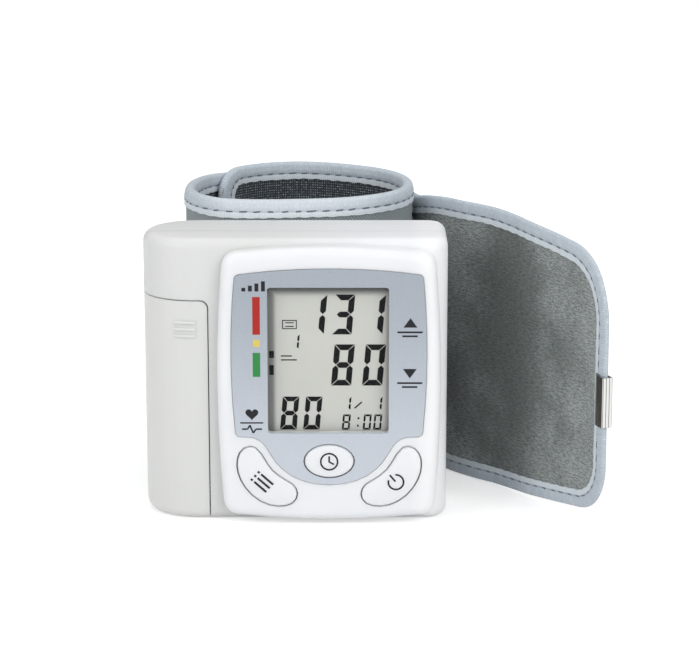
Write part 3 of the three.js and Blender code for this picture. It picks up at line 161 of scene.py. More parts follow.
def srgb(red, green, blue):
    """A screen colour, 0 to 255, as linear RGBA."""
    channels = [value / 255 for value in (red, green, blue)]
    return tuple(v / 12.92 if v <= 0.04045 else ((v + 0.055) / 1.055) ** 2.4 for v in channels) + (1,)


def dimmed(colour, share):
    """A linear colour at a share of its strength."""
    return tuple(channel * share for channel in colour[:3]) + (1,)


def smoothstep(value, start, end):
    share = np.clip((np.asarray(value, float) - start) / (end - start), 0, 1)
    return share * share * (3 - 2 * share)


def corner_cut(radius, distance):
    """How far a rounded corner draws the edge in, at a distance from the strip's end."""
    reach = np.clip(radius - np.asarray(distance, float), 0, radius)
    return radius - np.sqrt(radius**2 - reach**2)


def waver(values, seed, scale):
    """Smooth repeatable noise, between -1 and 1, along the values."""
    flat = [noise.noise(Vector((value * scale, seed, 0.37))) for value in np.ravel(values)]
    return np.reshape(flat, np.shape(values))


def waver_over(s, z, seed, scale):
    """Smooth repeatable noise over a strip's face."""
    places = zip(np.ravel(s), np.ravel(z))
    flat = [noise.noise(Vector((u * scale, v * scale, seed))) for u, v in places]
    return np.reshape(flat, np.shape(s))


def bulge(s, z, share, rise, ripple, seed, scale):
    """How far a sheet stands out between its lower and upper edge."""
    crown = np.sin(math.pi * share) ** CROWN_POWER
    return crown * (rise + ripple * waver_over(s, z, seed, scale))


def run_along(points):
    """Distance from the first point to each point of a line."""
    return np.concatenate([[0], np.cumsum(np.linalg.norm(np.diff(points, axis=0), axis=1))])


def centripetal(control):
    """Dense points of a centripetal Catmull-Rom curve through the control points."""
    points = np.array(control, float)
    padded = np.vstack([2 * points[0] - points[1], points, 2 * points[-1] - points[-2]])
    dense = []
    for i in range(len(points) - 1):
        x0, x1, x2, x3 = padded[i:i + 4]
        d0, d1, d2 = (math.sqrt(np.linalg.norm(b - a)) for a, b in ((x0, x1), (x1, x2), (x2, x3)))
        t1 = ((x1 - x0) / d0 - (x2 - x0) / (d0 + d1) + (x2 - x1) / d1) * d1
        t2 = ((x2 - x1) / d1 - (x3 - x1) / (d1 + d2) + (x3 - x2) / d2) * d1
        u = np.linspace(0, 1, CURVE_STEPS, endpoint=False)[:, None]
        square = -3 * x1 + 3 * x2 - 2 * t1 - t2
        cube = 2 * x1 - 2 * x2 + t1 + t2
        dense.append(x1 + t1 * u + square * u**2 + cube * u**3)
    return np.vstack(dense + [points[-1:]])


class Band:
    """A strip of cloth on edge: s runs along its plan curve, z up, offset through its thickness."""

    def __init__(self, points, bound_last):
        self.points = points
        self.bound_last = bound_last
        self.along = run_along(points)
        tangents = np.gradient(points, self.along, axis=0)
        self.tangents = tangents / np.linalg.norm(tangents, axis=1)[:, None]
        self.length = self.along[-1]

    def to_bound_end(self, s):
        return self.length - s if self.bound_last else s

    def spot(self, s, z, offset):
        """Points in metres. Beyond its ends the strip goes straight on."""
        s, z, offset = np.broadcast_arrays(np.asarray(s, float), z, offset)
        held = np.clip(s, 0, self.length)
        x, y = (np.interp(held, self.along, self.points[:, k]) for k in (0, 1))
        tx, ty = (np.interp(held, self.along, self.tangents[:, k]) for k in (0, 1))
        past = s - held
        return np.stack([x + tx * past - ty * offset, y + ty * past + tx * offset, z], axis=-1) * MM


def loop_band():
    inner = np.array(LOOP_SHARES) * (LOOP_HALF_WIDTH, LOOP_DEPTH) + (LOOP_CENTRE_X, 0)
    outer = []
    for i in range(OUTER_TURN_POINTS):
        heading = inner[i + 1] - inner[max(i - 1, 0)]
        left = np.array([-heading[1], heading[0]]) / np.linalg.norm(heading)
        outer.append(inner[i] + left * TURN_PITCH)
    dense = centripetal(np.vstack([inner, outer]))
    dense[:, 1] += LOOP_FRONT_Y - dense[:, 1].min()
    return Band(dense, False)


LOOP = loop_band()
TAIL = Band(centripetal(np.array(TAIL_POINTS) + HINGE), True)
INNER_TURN = LOOP.length * TURN_SHARE
TAIL_START = -HINGE_GAP - HINGE_LAP
TIP_START = TAIL.length - TAIL_TOP_CORNER


def loop_low(s):
    return corner_cut(LOOP_CORNER, np.maximum(s, 0))


def loop_high(s):
    drop = LOOP_DROP * smoothstep(s, LOOP_DROP_START * INNER_TURN, LOOP.length)
    return LOOP_TOP - drop - loop_low(s)


def tail_taper(s):
    past = np.clip(np.asarray(s, float) / TAIL.length - TAIL_TAPER_START, 0, 1)
    return (past / (1 - TAIL_TAPER_START)) ** TAIL_TAPER_POWER


def tail_low(s):
    return TAIL_LOW_RISE * tail_taper(s) + corner_cut(TAIL_LOW_CORNER, TAIL.length - s)


def tail_high(s):
    to_rise = 1 - np.clip(np.asarray(s, float) / TAIL_RISE_LENGTH, 0, 1)
    top = TAIL_ROOT_TOP + TAIL_TOP_RISE * (1 - to_rise**2)
    return top - TAIL_TOP_FALL * tail_taper(s) - corner_cut(TAIL_TOP_CORNER, TAIL.length - s)


def tail_ease(s):
    """1 where the free end leaves the loop, still as thick as it, falling to 0 further out."""
    return 1 - smoothstep(s, TAIL_START, TAIL_EASE)


def tail_half(s):
    return TAIL_HALF + (CUFF_HALF - TAIL_HALF) * tail_ease(s)


def tail_tape(s):
    return TAIL_TAPE_OUTER + (ROOT_TAPE_SHARE * TAPE_OUTER - TAIL_TAPE_OUTER) * tail_ease(s)


def pinch(depth):
    """Share of the full thickness at a depth in from a bound edge."""
    return EDGE_PINCH + (1 - EDGE_PINCH) * smoothstep(depth, 0, PINCH_DEPTH)


def loop_tape(s):
    return np.full(np.shape(s), TAPE_OUTER)


def level(offset):
    """A face of a sheet that keeps one offset."""
    return lambda s, z, share: np.full(s.shape, offset)


def lining_face(s, z, share):
    return -CUFF_HALF - bulge(s, z, share, rise=0.12, ripple=0.13, seed=2.3, scale=0.12)


def face_outside(s, z, share):
    return CUFF_HALF + bulge(s, z, share, rise=0.03, ripple=0.03, seed=5.9, scale=0.1)


def pile_face(s, z, share):
    return -tail_half(s) - bulge(s, z, share, rise=0.06, ripple=0.08, seed=8.3, scale=0.1)


def edge_line(stations, height):
    """Strip coordinates along one edge of a band."""
    return np.column_stack([stations, height(stations)])


def tip_steps(count):
    """Stations round the corners of the free end, closer together towards its tip."""
    return TAIL.length - TAIL_TOP_CORNER * (1 - np.sin(np.linspace(0, math.pi / 2, count)[1:]))


class Look:
    """A material in the making: its Principled surface and the nodes that feed it."""

    def __init__(self, name, constants):
        self.material = bpy.data.materials.new(name)
        self.material.use_nodes = True
        self.tree = self.material.node_tree
        self.surface = self.tree.nodes["Principled BSDF"]
        for socket, value in constants.items():
            self.surface.inputs[socket].default_value = value

    def add(self, kind, feeds, **settings):
        node = self.tree.nodes.new(kind)
        for key, value in settings.items():
            setattr(node, key, value)
        for key, value in feeds.items():
            if isinstance(value, bpy.types.NodeSocket):
                self.tree.links.new(value, node.inputs[key])
            else:
                node.inputs[key].default_value = value
        return node

    def feed(self, socket, source):
        self.tree.links.new(source, self.surface.inputs[socket])

    def math(self, operation, first, second=0.0, third=0.0):
        feeds = {0: first, 1: second, 2: third}
        return self.add("ShaderNodeMath", feeds, operation=operation).outputs[0]

    def mix(self, share, first, second):
        node = self.add("ShaderNodeMix", {0: share, 6: first, 7: second}, data_type="RGBA")
        return node.outputs[2]

    def span(self, value, low, high, to_low, to_high):
        """A smooth step from one value to another, while a value goes from low to high."""
        feeds = {"Value": value, "From Min": low, "From Max": high, "To Min": to_low, "To Max": to_high}
        node = self.add("ShaderNodeMapRange", feeds, interpolation_type="SMOOTHSTEP")
        return node.outputs["Result"]

    def place(self):
        """Position on the object, in metres."""
        return self.add("ShaderNodeTexCoord", {}).outputs["Object"]

    def strip_place(self):
        """Position along and across a strip of cloth, in millimetres."""
        return self.add("ShaderNodeUVMap", {}, uv_map="metric").outputs["UV"]

    def scaled(self, place, scale, turn=(0, 0, 0)):
        feeds = {"Vector": place, "Scale": scale, "Rotation": turn}
        return self.add("ShaderNodeMapping", feeds).outputs["Vector"]

    def axes(self, place):
        return self.add("ShaderNodeSeparateXYZ", {"Vector": place}).outputs

    def grain(self, place, scale, detail=2.0):
        feeds = {"Vector": place, "Scale": scale, "Detail": detail}
        return self.add("ShaderNodeTexNoise", feeds).outputs["Fac"]

    def stretched(self, place, scale, detail=2.0, turn=(0, 0, 0)):
        """Noise with its own scale along each axis."""
        return self.grain(self.scaled(place, scale, turn), 1, detail)

    def rough(self, source, low, high):
        """Roughness that follows a noise between two values."""
        self.feed("Roughness", self.span(source, NOISE_LOW, NOISE_HIGH, low, high))

    def wave(self, value, pitch):
        """A sine from 0 to 1 along a value, with that pitch."""
        turns = self.math("MULTIPLY", value, 2 * math.pi / pitch)
        return self.math("MULTIPLY_ADD", self.math("SINE", turns), 0.5, 0.5)

    def bump(self, height, strength, distance, under=None):
        feeds = {"Height": height, "Strength": strength, "Distance": distance}
        if under is not None:
            feeds["Normal"] = under
        self.feed("Normal", self.add("ShaderNodeBump", feeds).outputs["Normal"])

    def soft_edges(self, radius):
        return self.add("ShaderNodeBevel", {"Radius": radius}, samples=4).outputs["Normal"]


PLASTIC_GLOW = {
    "Subsurface Weight": 0.5,
    "Subsurface Radius": (1.0, 0.95, 0.88),
    "Subsurface Scale": 0.002,
}
MOTTLE_SCALE = 45
GLOSS_SCALE = 260
SKIN_SCALE = 2600
SKIN_DEPTH = 0.00012
SKIN_RELIEF = 0.03


def moulded_skin(look, place, low, high, relief, edge):
    """Gloss between two roughnesses, a fine moulded grain and softened edges."""
    look.rough(look.grain(place, GLOSS_SCALE), low, high)
    look.bump(look.grain(place, SKIN_SCALE, 3), relief, SKIN_DEPTH, look.soft_edges(edge))


def moulded(name, colour, roughness, relief=SKIN_RELIEF, constants=None):
    """Moulded plastic or rubber with a faint mottling."""
    look = Look(name, constants or {})
    place = look.place()
    mottle = look.grain(place, MOTTLE_SCALE)
    look.feed("Base Color", look.mix(mottle, dimmed(colour, 0.955), colour))
    moulded_skin(look, place, roughness - 0.05, roughness + 0.06, relief, 0.0003)
    return look.material


def case_plastic():
    """White moulded case, with painted light: paler on its front frame, which stands forward, and
    towards its right side.
    """
    look = Look("shell_white", {**PLASTIC_GLOW, "Specular IOR Level": 0.4})
    place = look.place()
    axes = look.axes(place)
    # Painted light: the front frame and the case towards its right side are made paler, where the light
    # falls on them.
    frame_painted_light = look.span(axes["Y"], -0.0172, -0.0138, 1.0, 0.0)
    right = look.span(axes["X"], -0.014, 0.034, 0.0, 1.0)
    body = look.mix(look.math("MAXIMUM", frame_painted_light, right), srgb(224, 225, 224), srgb(240, 242, 245))
    # Painted light on the right side face, paler still.
    body = look.mix(look.span(axes["X"], 0.028, 0.034, 0.0, 1.0), body, srgb(250, 251, 253))
    mottle = look.span(look.grain(place, MOTTLE_SCALE), NOISE_LOW, NOISE_HIGH, 0.06, 0.0)
    look.feed("Base Color", look.mix(mottle, body, srgb(190, 194, 198)))
    moulded_skin(look, place, 0.34, 0.44, SKIN_RELIEF, 0.0004)
    return look.material


def metal(name, colour, roughness):
    """Plated metal with fine drawn streaks."""
    look = Look(name, {"Metallic": 1.0})
    streaks = look.stretched(look.place(), (2400, 2400, 90))
    look.feed("Base Color", look.mix(streaks, dimmed(colour, 0.8), colour))
    look.rough(streaks, roughness - 0.06, roughness + 0.1)
    look.bump(streaks, 0.08, 0.00005, look.soft_edges(0.0002))
    return look.material


def ring_metal():
    """Bright plated ring with fine grooves along its length, with painted shade on the faces that turn
    away from the front and in its grooves.
    """
    look = Look("ring_nickel", {"Metallic": 1.0})
    coordinates = look.add("ShaderNodeTexCoord", {}).outputs
    place = coordinates["Object"]
    across = look.axes(look.scaled(place, (1, 1, 1), (0, 0, math.radians(-21))))["X"]
    groove = look.wave(across, 0.00085)
    streaks = look.stretched(place, (1800, 1800, 60))
    # Painted shade: faces turned away from the front get a darker tone than the lit faces.
    feeds = {0: coordinates["Normal"], 1: (0.37, -0.93, 0)}
    facing = look.add("ShaderNodeVectorMath", feeds, operation="DOT_PRODUCT").outputs["Value"]
    bright = look.mix(streaks, srgb(204, 204, 202), srgb(236, 236, 235))
    painted_shade_tone = look.mix(streaks, srgb(96, 92, 86), srgb(134, 129, 122))
    tone = look.mix(look.span(facing, 0.3, 0.7, 0.0, 1.0), painted_shade_tone, bright)
    # Painted shade darkens the bottoms of the grooves.
    ridge = look.span(groove, 0.0, 0.25, 0.0, 1.0)
    look.feed("Base Color", look.mix(ridge, srgb(120, 117, 112), tone))
    look.rough(streaks, 0.24, 0.38)
    look.bump(groove, 0.5, 0.0002, look.soft_edges(0.0003))
    return look.material


def label_print():
    """Silver-blue printed panel, darker towards its top, with a fine metallic grain."""
    look = Look("label_silver", {"Metallic": 0.15})
    place = look.place()
    rise = look.span(look.axes(place)["Z"], 0.012, 0.064, 0.0, 1.0)
    tone = look.mix(rise, srgb(195, 202, 211), srgb(161, 169, 179))
    sparkle = look.grain(place, 5200, 1)
    glint = look.span(sparkle, 0.35, 0.7, 0.0, 0.12)
    look.feed("Base Color", look.mix(glint, tone, srgb(222, 228, 235)))
    look.rough(look.grain(place, 320), 0.36, 0.46)
    look.bump(sparkle, 0.05, 0.00005, look.soft_edges(0.00015))
    return look.material


def lcd_glass():
    """Greenish-grey display with a faint cloudiness, and painted shadow of its window's frame along its
    upper and side edges.
    """
    look = Look("lcd_grey", {"Specular IOR Level": 0.2})
    place = look.place()
    axes = look.axes(place)
    cloud = look.grain(place, 70)
    speck = look.grain(place, 6500, 1)
    tone = look.mix(cloud, srgb(201, 202, 196), srgb(212, 213, 207))
    tone = look.mix(look.span(speck, 0.4, 0.7, 0.0, 0.15), tone, srgb(222, 223, 217))
    # Painted shadow of the window's frame along the display's left, right and upper edges.
    left = look.span(axes["X"], -0.0056, -0.0042, 0.78, 0.0)
    right = look.span(axes["X"], 0.0221, 0.0232, 0.0, 0.4)
    top = look.span(axes["Z"], 0.0578, 0.0600, 0.0, 0.95)
    shade = look.math("MAXIMUM", look.math("MAXIMUM", left, right), top)
    look.feed("Base Color", look.mix(shade, tone, srgb(98, 99, 99)))
    look.rough(cloud, 0.5, 0.62)
    return look.material


def clear_pane():
    """Thin clear window that keeps a weak gloss."""
    look = Look("pane_clear", {"Alpha": 0.015, "IOR": 1.46})
    film = look.grain(look.place(), 40)
    look.feed("Base Color", look.mix(film, srgb(70, 74, 74), srgb(90, 94, 94)))
    look.rough(film, 0.04, 0.1)
    return look.material


def ink(name, colour):
    """Printed ink: slightly uneven in tone and gloss."""
    look = Look(name, {"Specular IOR Level": 0.12})
    patch = look.grain(look.place(), 1800)
    paler = tuple(min(channel * 1.15 + 0.002, 1) for channel in colour[:3]) + (1,)
    look.feed("Base Color", look.mix(patch, colour, paler))
    look.rough(patch, 0.45, 0.6)
    return look.material


def woven(name, dark, light, pitch, fleck, sheen, relief):
    """Plain-woven cloth: crossing threads, a slubby tone and a soft sheen."""
    constants = {"Sheen Weight": sheen, "Sheen Roughness": 0.5, "Specular IOR Level": 0.15}
    look = Look(name, constants)
    place = look.strip_place()
    axes = look.axes(place)
    warp = look.wave(axes["X"], pitch)
    weft = look.wave(axes["Y"], pitch)
    over = look.math("MULTIPLY", warp, weft)
    under = look.math("MULTIPLY", look.math("SUBTRACT", 1.0, warp), look.math("SUBTRACT", 1.0, weft))
    threads = look.math("ADD", over, under)
    slub = look.grain(look.scaled(place, (0.5, 2.2, 1)), 1.2, 3)
    share = look.math("MULTIPLY_ADD", slub, fleck, -0.5 * fleck)
    tone = look.math("ADD", look.span(threads, 0.1, 0.9, 0.0, 1.0), share)
    look.feed("Base Color", look.mix(tone, dark, light))
    look.rough(slub, 0.82, 0.95)
    look.bump(threads, relief, 0.0004)
    return look.material


def mesh_cloth():
    """Open knitted mesh: rows of loops that catch the light unevenly over a dark ground."""
    look = Look("mesh_dark", {"Sheen Weight": 0.05, "Specular IOR Level": 0.15})
    place = look.strip_place()
    axes = look.axes(place)
    loops = look.math("MULTIPLY", look.wave(axes["X"], 0.68), look.wave(axes["Y"], 0.68))
    uneven = look.stretched(place, (1.1, 1.1, 1), 3)
    cloud = look.stretched(place, (0.12, 0.12, 1))
    caught = look.span(uneven, 0.38, 0.66, 0.1, 1.0)
    lit = look.math("MULTIPLY", look.span(loops, 0.2, 0.9, 0.0, 1.0), caught)
    ground = look.mix(cloud, srgb(50, 56, 61), srgb(70, 77, 83))
    look.feed("Base Color", look.mix(lit, ground, srgb(196, 203, 208)))
    look.rough(uneven, 0.8, 0.95)
    look.bump(loops, 0.6, 0.0004)
    return look.material


def tape_cloth():
    """Woven binding tape: fine pale flecks, painted shade along the seam, a paler free edge beyond it,
    and painted light on its run across the front.
    """
    constants = {"Sheen Weight": 0.15, "Sheen Roughness": 0.4, "Specular IOR Level": 0.2}
    look = Look("tape_blue_grey", constants)
    place = look.strip_place()
    axes = look.axes(place)
    rib = look.wave(axes["X"], 0.62)
    fleck = look.stretched(place, (2.4, 2.0, 1), turn=(0, 0, 0.6))
    slub = look.stretched(place, (0.5, 0.3, 1), 3)
    body = look.mix(slub, srgb(178, 190, 201), srgb(206, 215, 223))
    lip = look.mix(slub, srgb(204, 215, 223), srgb(228, 235, 240))
    beyond = look.span(axes["Y"], STITCH_DEPTH - 0.1, STITCH_DEPTH + 0.35, 0.0, 1.0)
    tone = look.mix(beyond, body, lip)
    # Painted shade along the seam line, where the stitching draws the tape in.
    seam = look.math("ABSOLUTE", look.math("SUBTRACT", axes["Y"], STITCH_DEPTH))
    tone = look.mix(look.span(seam, 0.08, 0.4, 0.5, 0.0), tone, srgb(126, 140, 154))
    tone = look.mix(look.span(fleck, 0.52, 0.7, 0.0, 0.55), tone, srgb(232, 238, 242))
    tone = look.mix(look.span(rib, 0.0, 1.0, 0.13, 0.0), tone, srgb(150, 162, 174))
    # Painted light: the tape's run across the front of the loop is made paler, where the light falls
    # full on it.
    spot = look.axes(look.place())
    front = look.span(spot["Y"], 0.015, 0.026, 0.34, 0.0)
    front = look.math("MULTIPLY", front, look.span(spot["X"], 0.028, 0.036, 1.0, 0.0))
    front = look.math("MULTIPLY", front, look.span(spot["X"], -0.030, -0.016, 0.0, 1.0))
    tone = look.mix(front, tone, srgb(244, 249, 252))
    look.feed("Base Color", tone)
    look.rough(slub, 0.7, 0.86)
    look.bump(look.math("ADD", rib, fleck), 0.35, 0.0003)
    return look.material


def thread():
    """Twisted sewing thread."""
    look = Look("thread_blue_grey", {"Sheen Weight": 0.3, "Specular IOR Level": 0.3})
    twist = look.stretched(look.place(), (3500, 3500, 3500))
    look.feed("Base Color", look.mix(twist, srgb(72, 83, 96), srgb(116, 127, 140)))
    look.rough(twist, 0.6, 0.8)
    look.bump(twist, 0.3, 0.00015)
    return look.material


def pile_cloth():
    """Brushed loop pile: short streaks and pale flecks, with painted shade in a broad patch where the
    case and the strip's curve shade it.
    """
    constants = {"Sheen Weight": 0.2, "Sheen Roughness": 0.6, "Specular IOR Level": 0.1}
    look = Look("pile_grey_green", constants)
    place = look.strip_place()
    axes = look.axes(place)
    lean = (0, 0, 0.12)
    streak = look.stretched(place, (0.6, 2.6, 1), 3, lean)
    fleck = look.stretched(place, (1.9, 3.8, 1), turn=lean)
    cloud = look.stretched(place, (0.06, 0.06, 1))
    # Painted shade: a broad patch, darkest towards its middle, stands in for the shadow that the case
    # and the strip's curve cast on the pile.
    across, up = (
        look.math("MULTIPLY", look.math("SUBTRACT", axes[axis], middle), 1 / reach)
        for axis, middle, reach in (("X", 41.5, 32), ("Y", 37.0, 56))
    )
    reach = look.math("ADD", look.math("MULTIPLY", across, across), look.math("MULTIPLY", up, up))
    ragged = look.span(cloud, NOISE_LOW, NOISE_HIGH, -0.24, 0.24)
    reach = look.math("ADD", look.math("SQRT", reach), ragged)
    light = look.span(reach, 0.15, 1.25, 0.0, 1.0)
    low = look.mix(light, srgb(78, 85, 83), srgb(108, 115, 114))
    high = look.mix(light, srgb(104, 111, 109), srgb(164, 170, 169))
    tone = look.mix(look.span(streak, 0.32, 0.68, 0.0, 1.0), low, high)
    # Painted shade also fades the pale flecks inside the patch.
    painted_light_share = look.span(light, 0.1, 0.9, 0.3, 1.0)
    flecks = look.math("MULTIPLY", look.span(fleck, 0.52, 0.68, 0.0, 0.68), painted_light_share)
    look.feed("Base Color", look.mix(flecks, tone, srgb(198, 204, 202)))
    look.rough(fleck, 0.9, 1.0)
    look.bump(look.math("ADD", streak, fleck), 0.55, 0.0004)
    return look.material


def hook_cloth():
    """Hook tape: rows of tiny stiff hooks."""
    look = Look("hook_grey", {"Specular IOR Level": 0.3})
    axes = look.axes(look.strip_place())
    hooks = look.math("MULTIPLY", look.wave(axes["X"], 1.2), look.wave(axes["Y"], 1.2))
    look.feed("Base Color", look.mix(hooks, srgb(70, 76, 80), srgb(128, 136, 140)))
    look.feed("Roughness", look.span(hooks, 0.0, 1.0, 0.7, 0.5))
    look.bump(hooks, 0.8, 0.0006)
    return look.material


def cell_wrap():
    """Printed cell jacket: a dark sleeve with a coppery top band."""
    look = Look("cell_wrap", {"Metallic": 0.4})
    place = look.place()
    band = look.span(look.axes(place)["Z"], 0.0405, 0.0409, 0.0, 1.0)
    patch = look.grain(place, 300)
    sleeve = look.mix(patch, srgb(40, 44, 50), srgb(54, 58, 66))
    look.feed("Base Color", look.mix(band, sleeve, srgb(176, 120, 66)))
    look.rough(patch, 0.25, 0.36)
    return look.material


def circuit():
    """Solder-masked board with faint tracks."""
    look = Look("board_green", {"Specular IOR Level": 0.5})
    place = look.place()
    axes = look.axes(place)
    tracks = look.math("MULTIPLY", look.wave(axes["X"], 0.0031), look.wave(axes["Z"], 0.0047))
    share = look.span(tracks, 0.45, 0.6, 0.0, 0.5)
    look.feed("Base Color", look.mix(share, srgb(24, 82, 52), srgb(52, 124, 82)))
    look.rough(look.grain(place, 400), 0.35, 0.5)
    return look.material


LOOKS = {
    "white_shell": case_plastic(),
    "cover_shell": moulded("cover_white", srgb(226, 227, 225), 0.38, constants=PLASTIC_GLOW),
    "silver_panel": label_print(),
    "clear_pane": clear_pane(),
    "lcd": lcd_glass(),
    "board": circuit(),
    "black_plastic": moulded("plastic_black", srgb(34, 34, 36), 0.45),
    "dark_rubber": moulded("rubber_dark", srgb(44, 44, 46), 0.75, relief=0.1),
    "silicone": moulded("silicone_grey", srgb(206, 208, 206), 0.55),
    "steel": metal("steel_bright", srgb(196, 198, 200), 0.32),
    "nickel": ring_metal(),
    "cell_jacket": cell_wrap(),
    "face_cloth": woven(
        "cloth_grey", srgb(118, 127, 130), srgb(162, 170, 173),
        pitch=0.9, fleck=0.6, sheen=0.1, relief=0.35,
    ),
    "mesh_lining": mesh_cloth(),
    "loop_pile": pile_cloth(),
    "binding_tape": tape_cloth(),
    "hook_tape": hook_cloth(),
    "foam": moulded("foam_grey", srgb(88, 92, 94), 0.9, relief=0.4),
}
THREAD = thread()


def shade_by_angle():
    """Node group that joins a CAD mesh's corners and shades it smooth, except across real edges."""
    tree = bpy.data.node_groups.new("shade_by_angle", "GeometryNodeTree")
    for way in ("INPUT", "OUTPUT"):
        tree.interface.new_socket("Geometry", in_out=way, socket_type="NodeSocketGeometry")
    add = tree.nodes.new
    start = add("NodeGroupInput")
    end = add("NodeGroupOutput")
    plain = add("GeometryNodeRemoveAttribute")
    plain.inputs["Name"].default_value = "custom_normal"
    weld = add("GeometryNodeMergeByDistance")
    weld.inputs["Distance"].default_value = WELD_DISTANCE
    faces = add("GeometryNodeSetShadeSmooth")
    faces.domain = "FACE"
    edges = add("GeometryNodeSetShadeSmooth")
    edges.domain = "EDGE"
    angle = add("GeometryNodeInputMeshEdgeAngle")
    gentle = add("FunctionNodeCompare")
    gentle.operation = "LESS_THAN"
    gentle.inputs["B"].default_value = math.radians(SMOOTH_ANGLE)
    chain = (start, plain, weld, faces, edges, end)
    for before, after in zip(chain, chain[1:]):
        tree.links.new(before.outputs[0], after.inputs["Geometry"])
    tree.links.new(angle.outputs["Unsigned Angle"], gentle.inputs["A"])
    tree.links.new(gentle.outputs["Result"], edges.inputs["Shade Smooth"])
    return tree


def dress_nodes(frame):
    """Gives every CAD node its material and smooth shading."""
    group = shade_by_angle()
    for part in frame["record"]["subparts"]:
        node = frame["nodes"][part["node"]]
        for place in node.material_slots:
            place.link = "OBJECT"
            place.material = LOOKS[part["material_slot"]]
        node.modifiers.new("shading", "NODES").node_group = group


def placed(name, data):
    """A new object in the scene."""
    made = bpy.data.objects.new(name, data)
    bpy.context.scene.collection.objects.link(made)
    return made


def piece(name, points, faces, look, uvs=None, crease=50):
    """A mesh piece from points in metres, with its outside facing out."""
    mesh = bpy.data.meshes.new(name)
    mesh.from_pydata(np.reshape(points, (-1, 3)).tolist(), [], faces)
    if uvs is not None:
        corners = np.empty(len(mesh.loops), int)
        mesh.loops.foreach_get("vertex_index", corners)
        layer = mesh.uv_layers.new(name="metric")
        layer.data.foreach_set("uv", np.reshape(uvs, (-1, 2))[corners].ravel())
    work = bmesh.new()
    work.from_mesh(mesh)
    bmesh.ops.recalc_face_normals(work, faces=work.faces)
    work.to_mesh(mesh)
    work.free()
    mesh.polygons.foreach_set("use_smooth", [True] * len(mesh.polygons))
    mesh.set_sharp_from_angle(angle=math.radians(crease))
    mesh.materials.append(look)
    return placed(name, mesh)


def tube_sides(count, size, base=0):
    """Side faces of a closed tube of rings."""
    faces = []
    for i in range(count - 1):
        a = base + i * size
        for k in range(size):
            after = (k + 1) % size
            faces.append((a + k, a + after, a + size + after, a + size + k))
    return faces


def ring_faces(count, size, base=0):
    """Faces of a closed tube of rings, with a cap at both ends."""
    first = tuple(base + k for k in range(size))
    last = tuple(base + (count - 1) * size + k for k in reversed(range(size)))
    return tube_sides(count, size, base) + [first, last]


def cloth(name, band, stations, low, high, inner, outer, look, rows=33, inset=CLOTH_INSET):
    """A thin closed sheet over the band's height, between offsets that may vary over its face."""
    share = (1 - np.cos(np.linspace(0, math.pi, rows))) / 2
    s = np.repeat(stations[:, None], rows, axis=1)
    bottom = low(s) + inset
    z = bottom + (high(s) - inset - bottom) * share
    edge = np.minimum(np.minimum(z - low(s), high(s) - z), band.to_bound_end(s))
    inside = band.spot(s, z, inner(s, z, share) * pinch(edge))
    outside = band.spot(s, z, outer(s, z, share) * pinch(edge))
    rings = np.concatenate([inside, outside[:, ::-1]], axis=1)
    flat = np.stack([s, z], axis=-1)
    uvs = np.concatenate([flat, flat[:, ::-1]], axis=1)
    count, size = rings.shape[:2]
    faces = tube_sides(count, size)
    for end in (0, (count - 1) * size):
        for k in range(rows - 1):
            faces.append((end + k, end + k + 1, end + size - 2 - k, end + size - 1 - k))
    return piece(name, rings, faces, look, uvs)


class EdgePath:
    """The bound edge of a band: even steps along it, and the way into the cloth at each."""

    BEND_WINDOW = 5
    BEND_ROOM = 0.9
    WIDTH_WINDOW = 7

    def __init__(self, band, corners, side):
        run = run_along(corners)
        count = int(run[-1] / EDGE_STEP)
        self.band = band
        self.along = np.linspace(0, run[-1], count)
        self.spots = np.column_stack([np.interp(self.along, run, corners[:, k]) for k in (0, 1)])
        heading = np.gradient(self.spots, self.along, axis=0)
        heading /= np.linalg.norm(heading, axis=1)[:, None]
        self.inward = side * np.column_stack([-heading[:, 1], heading[:, 0]])
        turn = np.unwrap(np.arctan2(heading[:, 1], heading[:, 0]))
        bend_mean = np.ones(self.BEND_WINDOW) / self.BEND_WINDOW
        bend = np.convolve(np.abs(np.gradient(turn, self.along)), bend_mean, "same")
        width = np.minimum(TAPE_WIDTH, self.BEND_ROOM / np.maximum(bend, 1e-6))
        width_mean = np.ones(self.WIDTH_WINDOW) / self.WIDTH_WINDOW
        self.width = np.convolve(np.pad(width, self.WIDTH_WINDOW // 2, "edge"), width_mean, "valid")

    def at(self, along, depth):
        """Strip coordinates at a place along the edge and a depth in from it."""
        s, z = (np.interp(along, self.along, self.spots[:, k]) for k in (0, 1))
        ds, dz = (np.interp(along, self.along, self.inward[:, k]) for k in (0, 1))
        return s + ds * depth, z + dz * depth


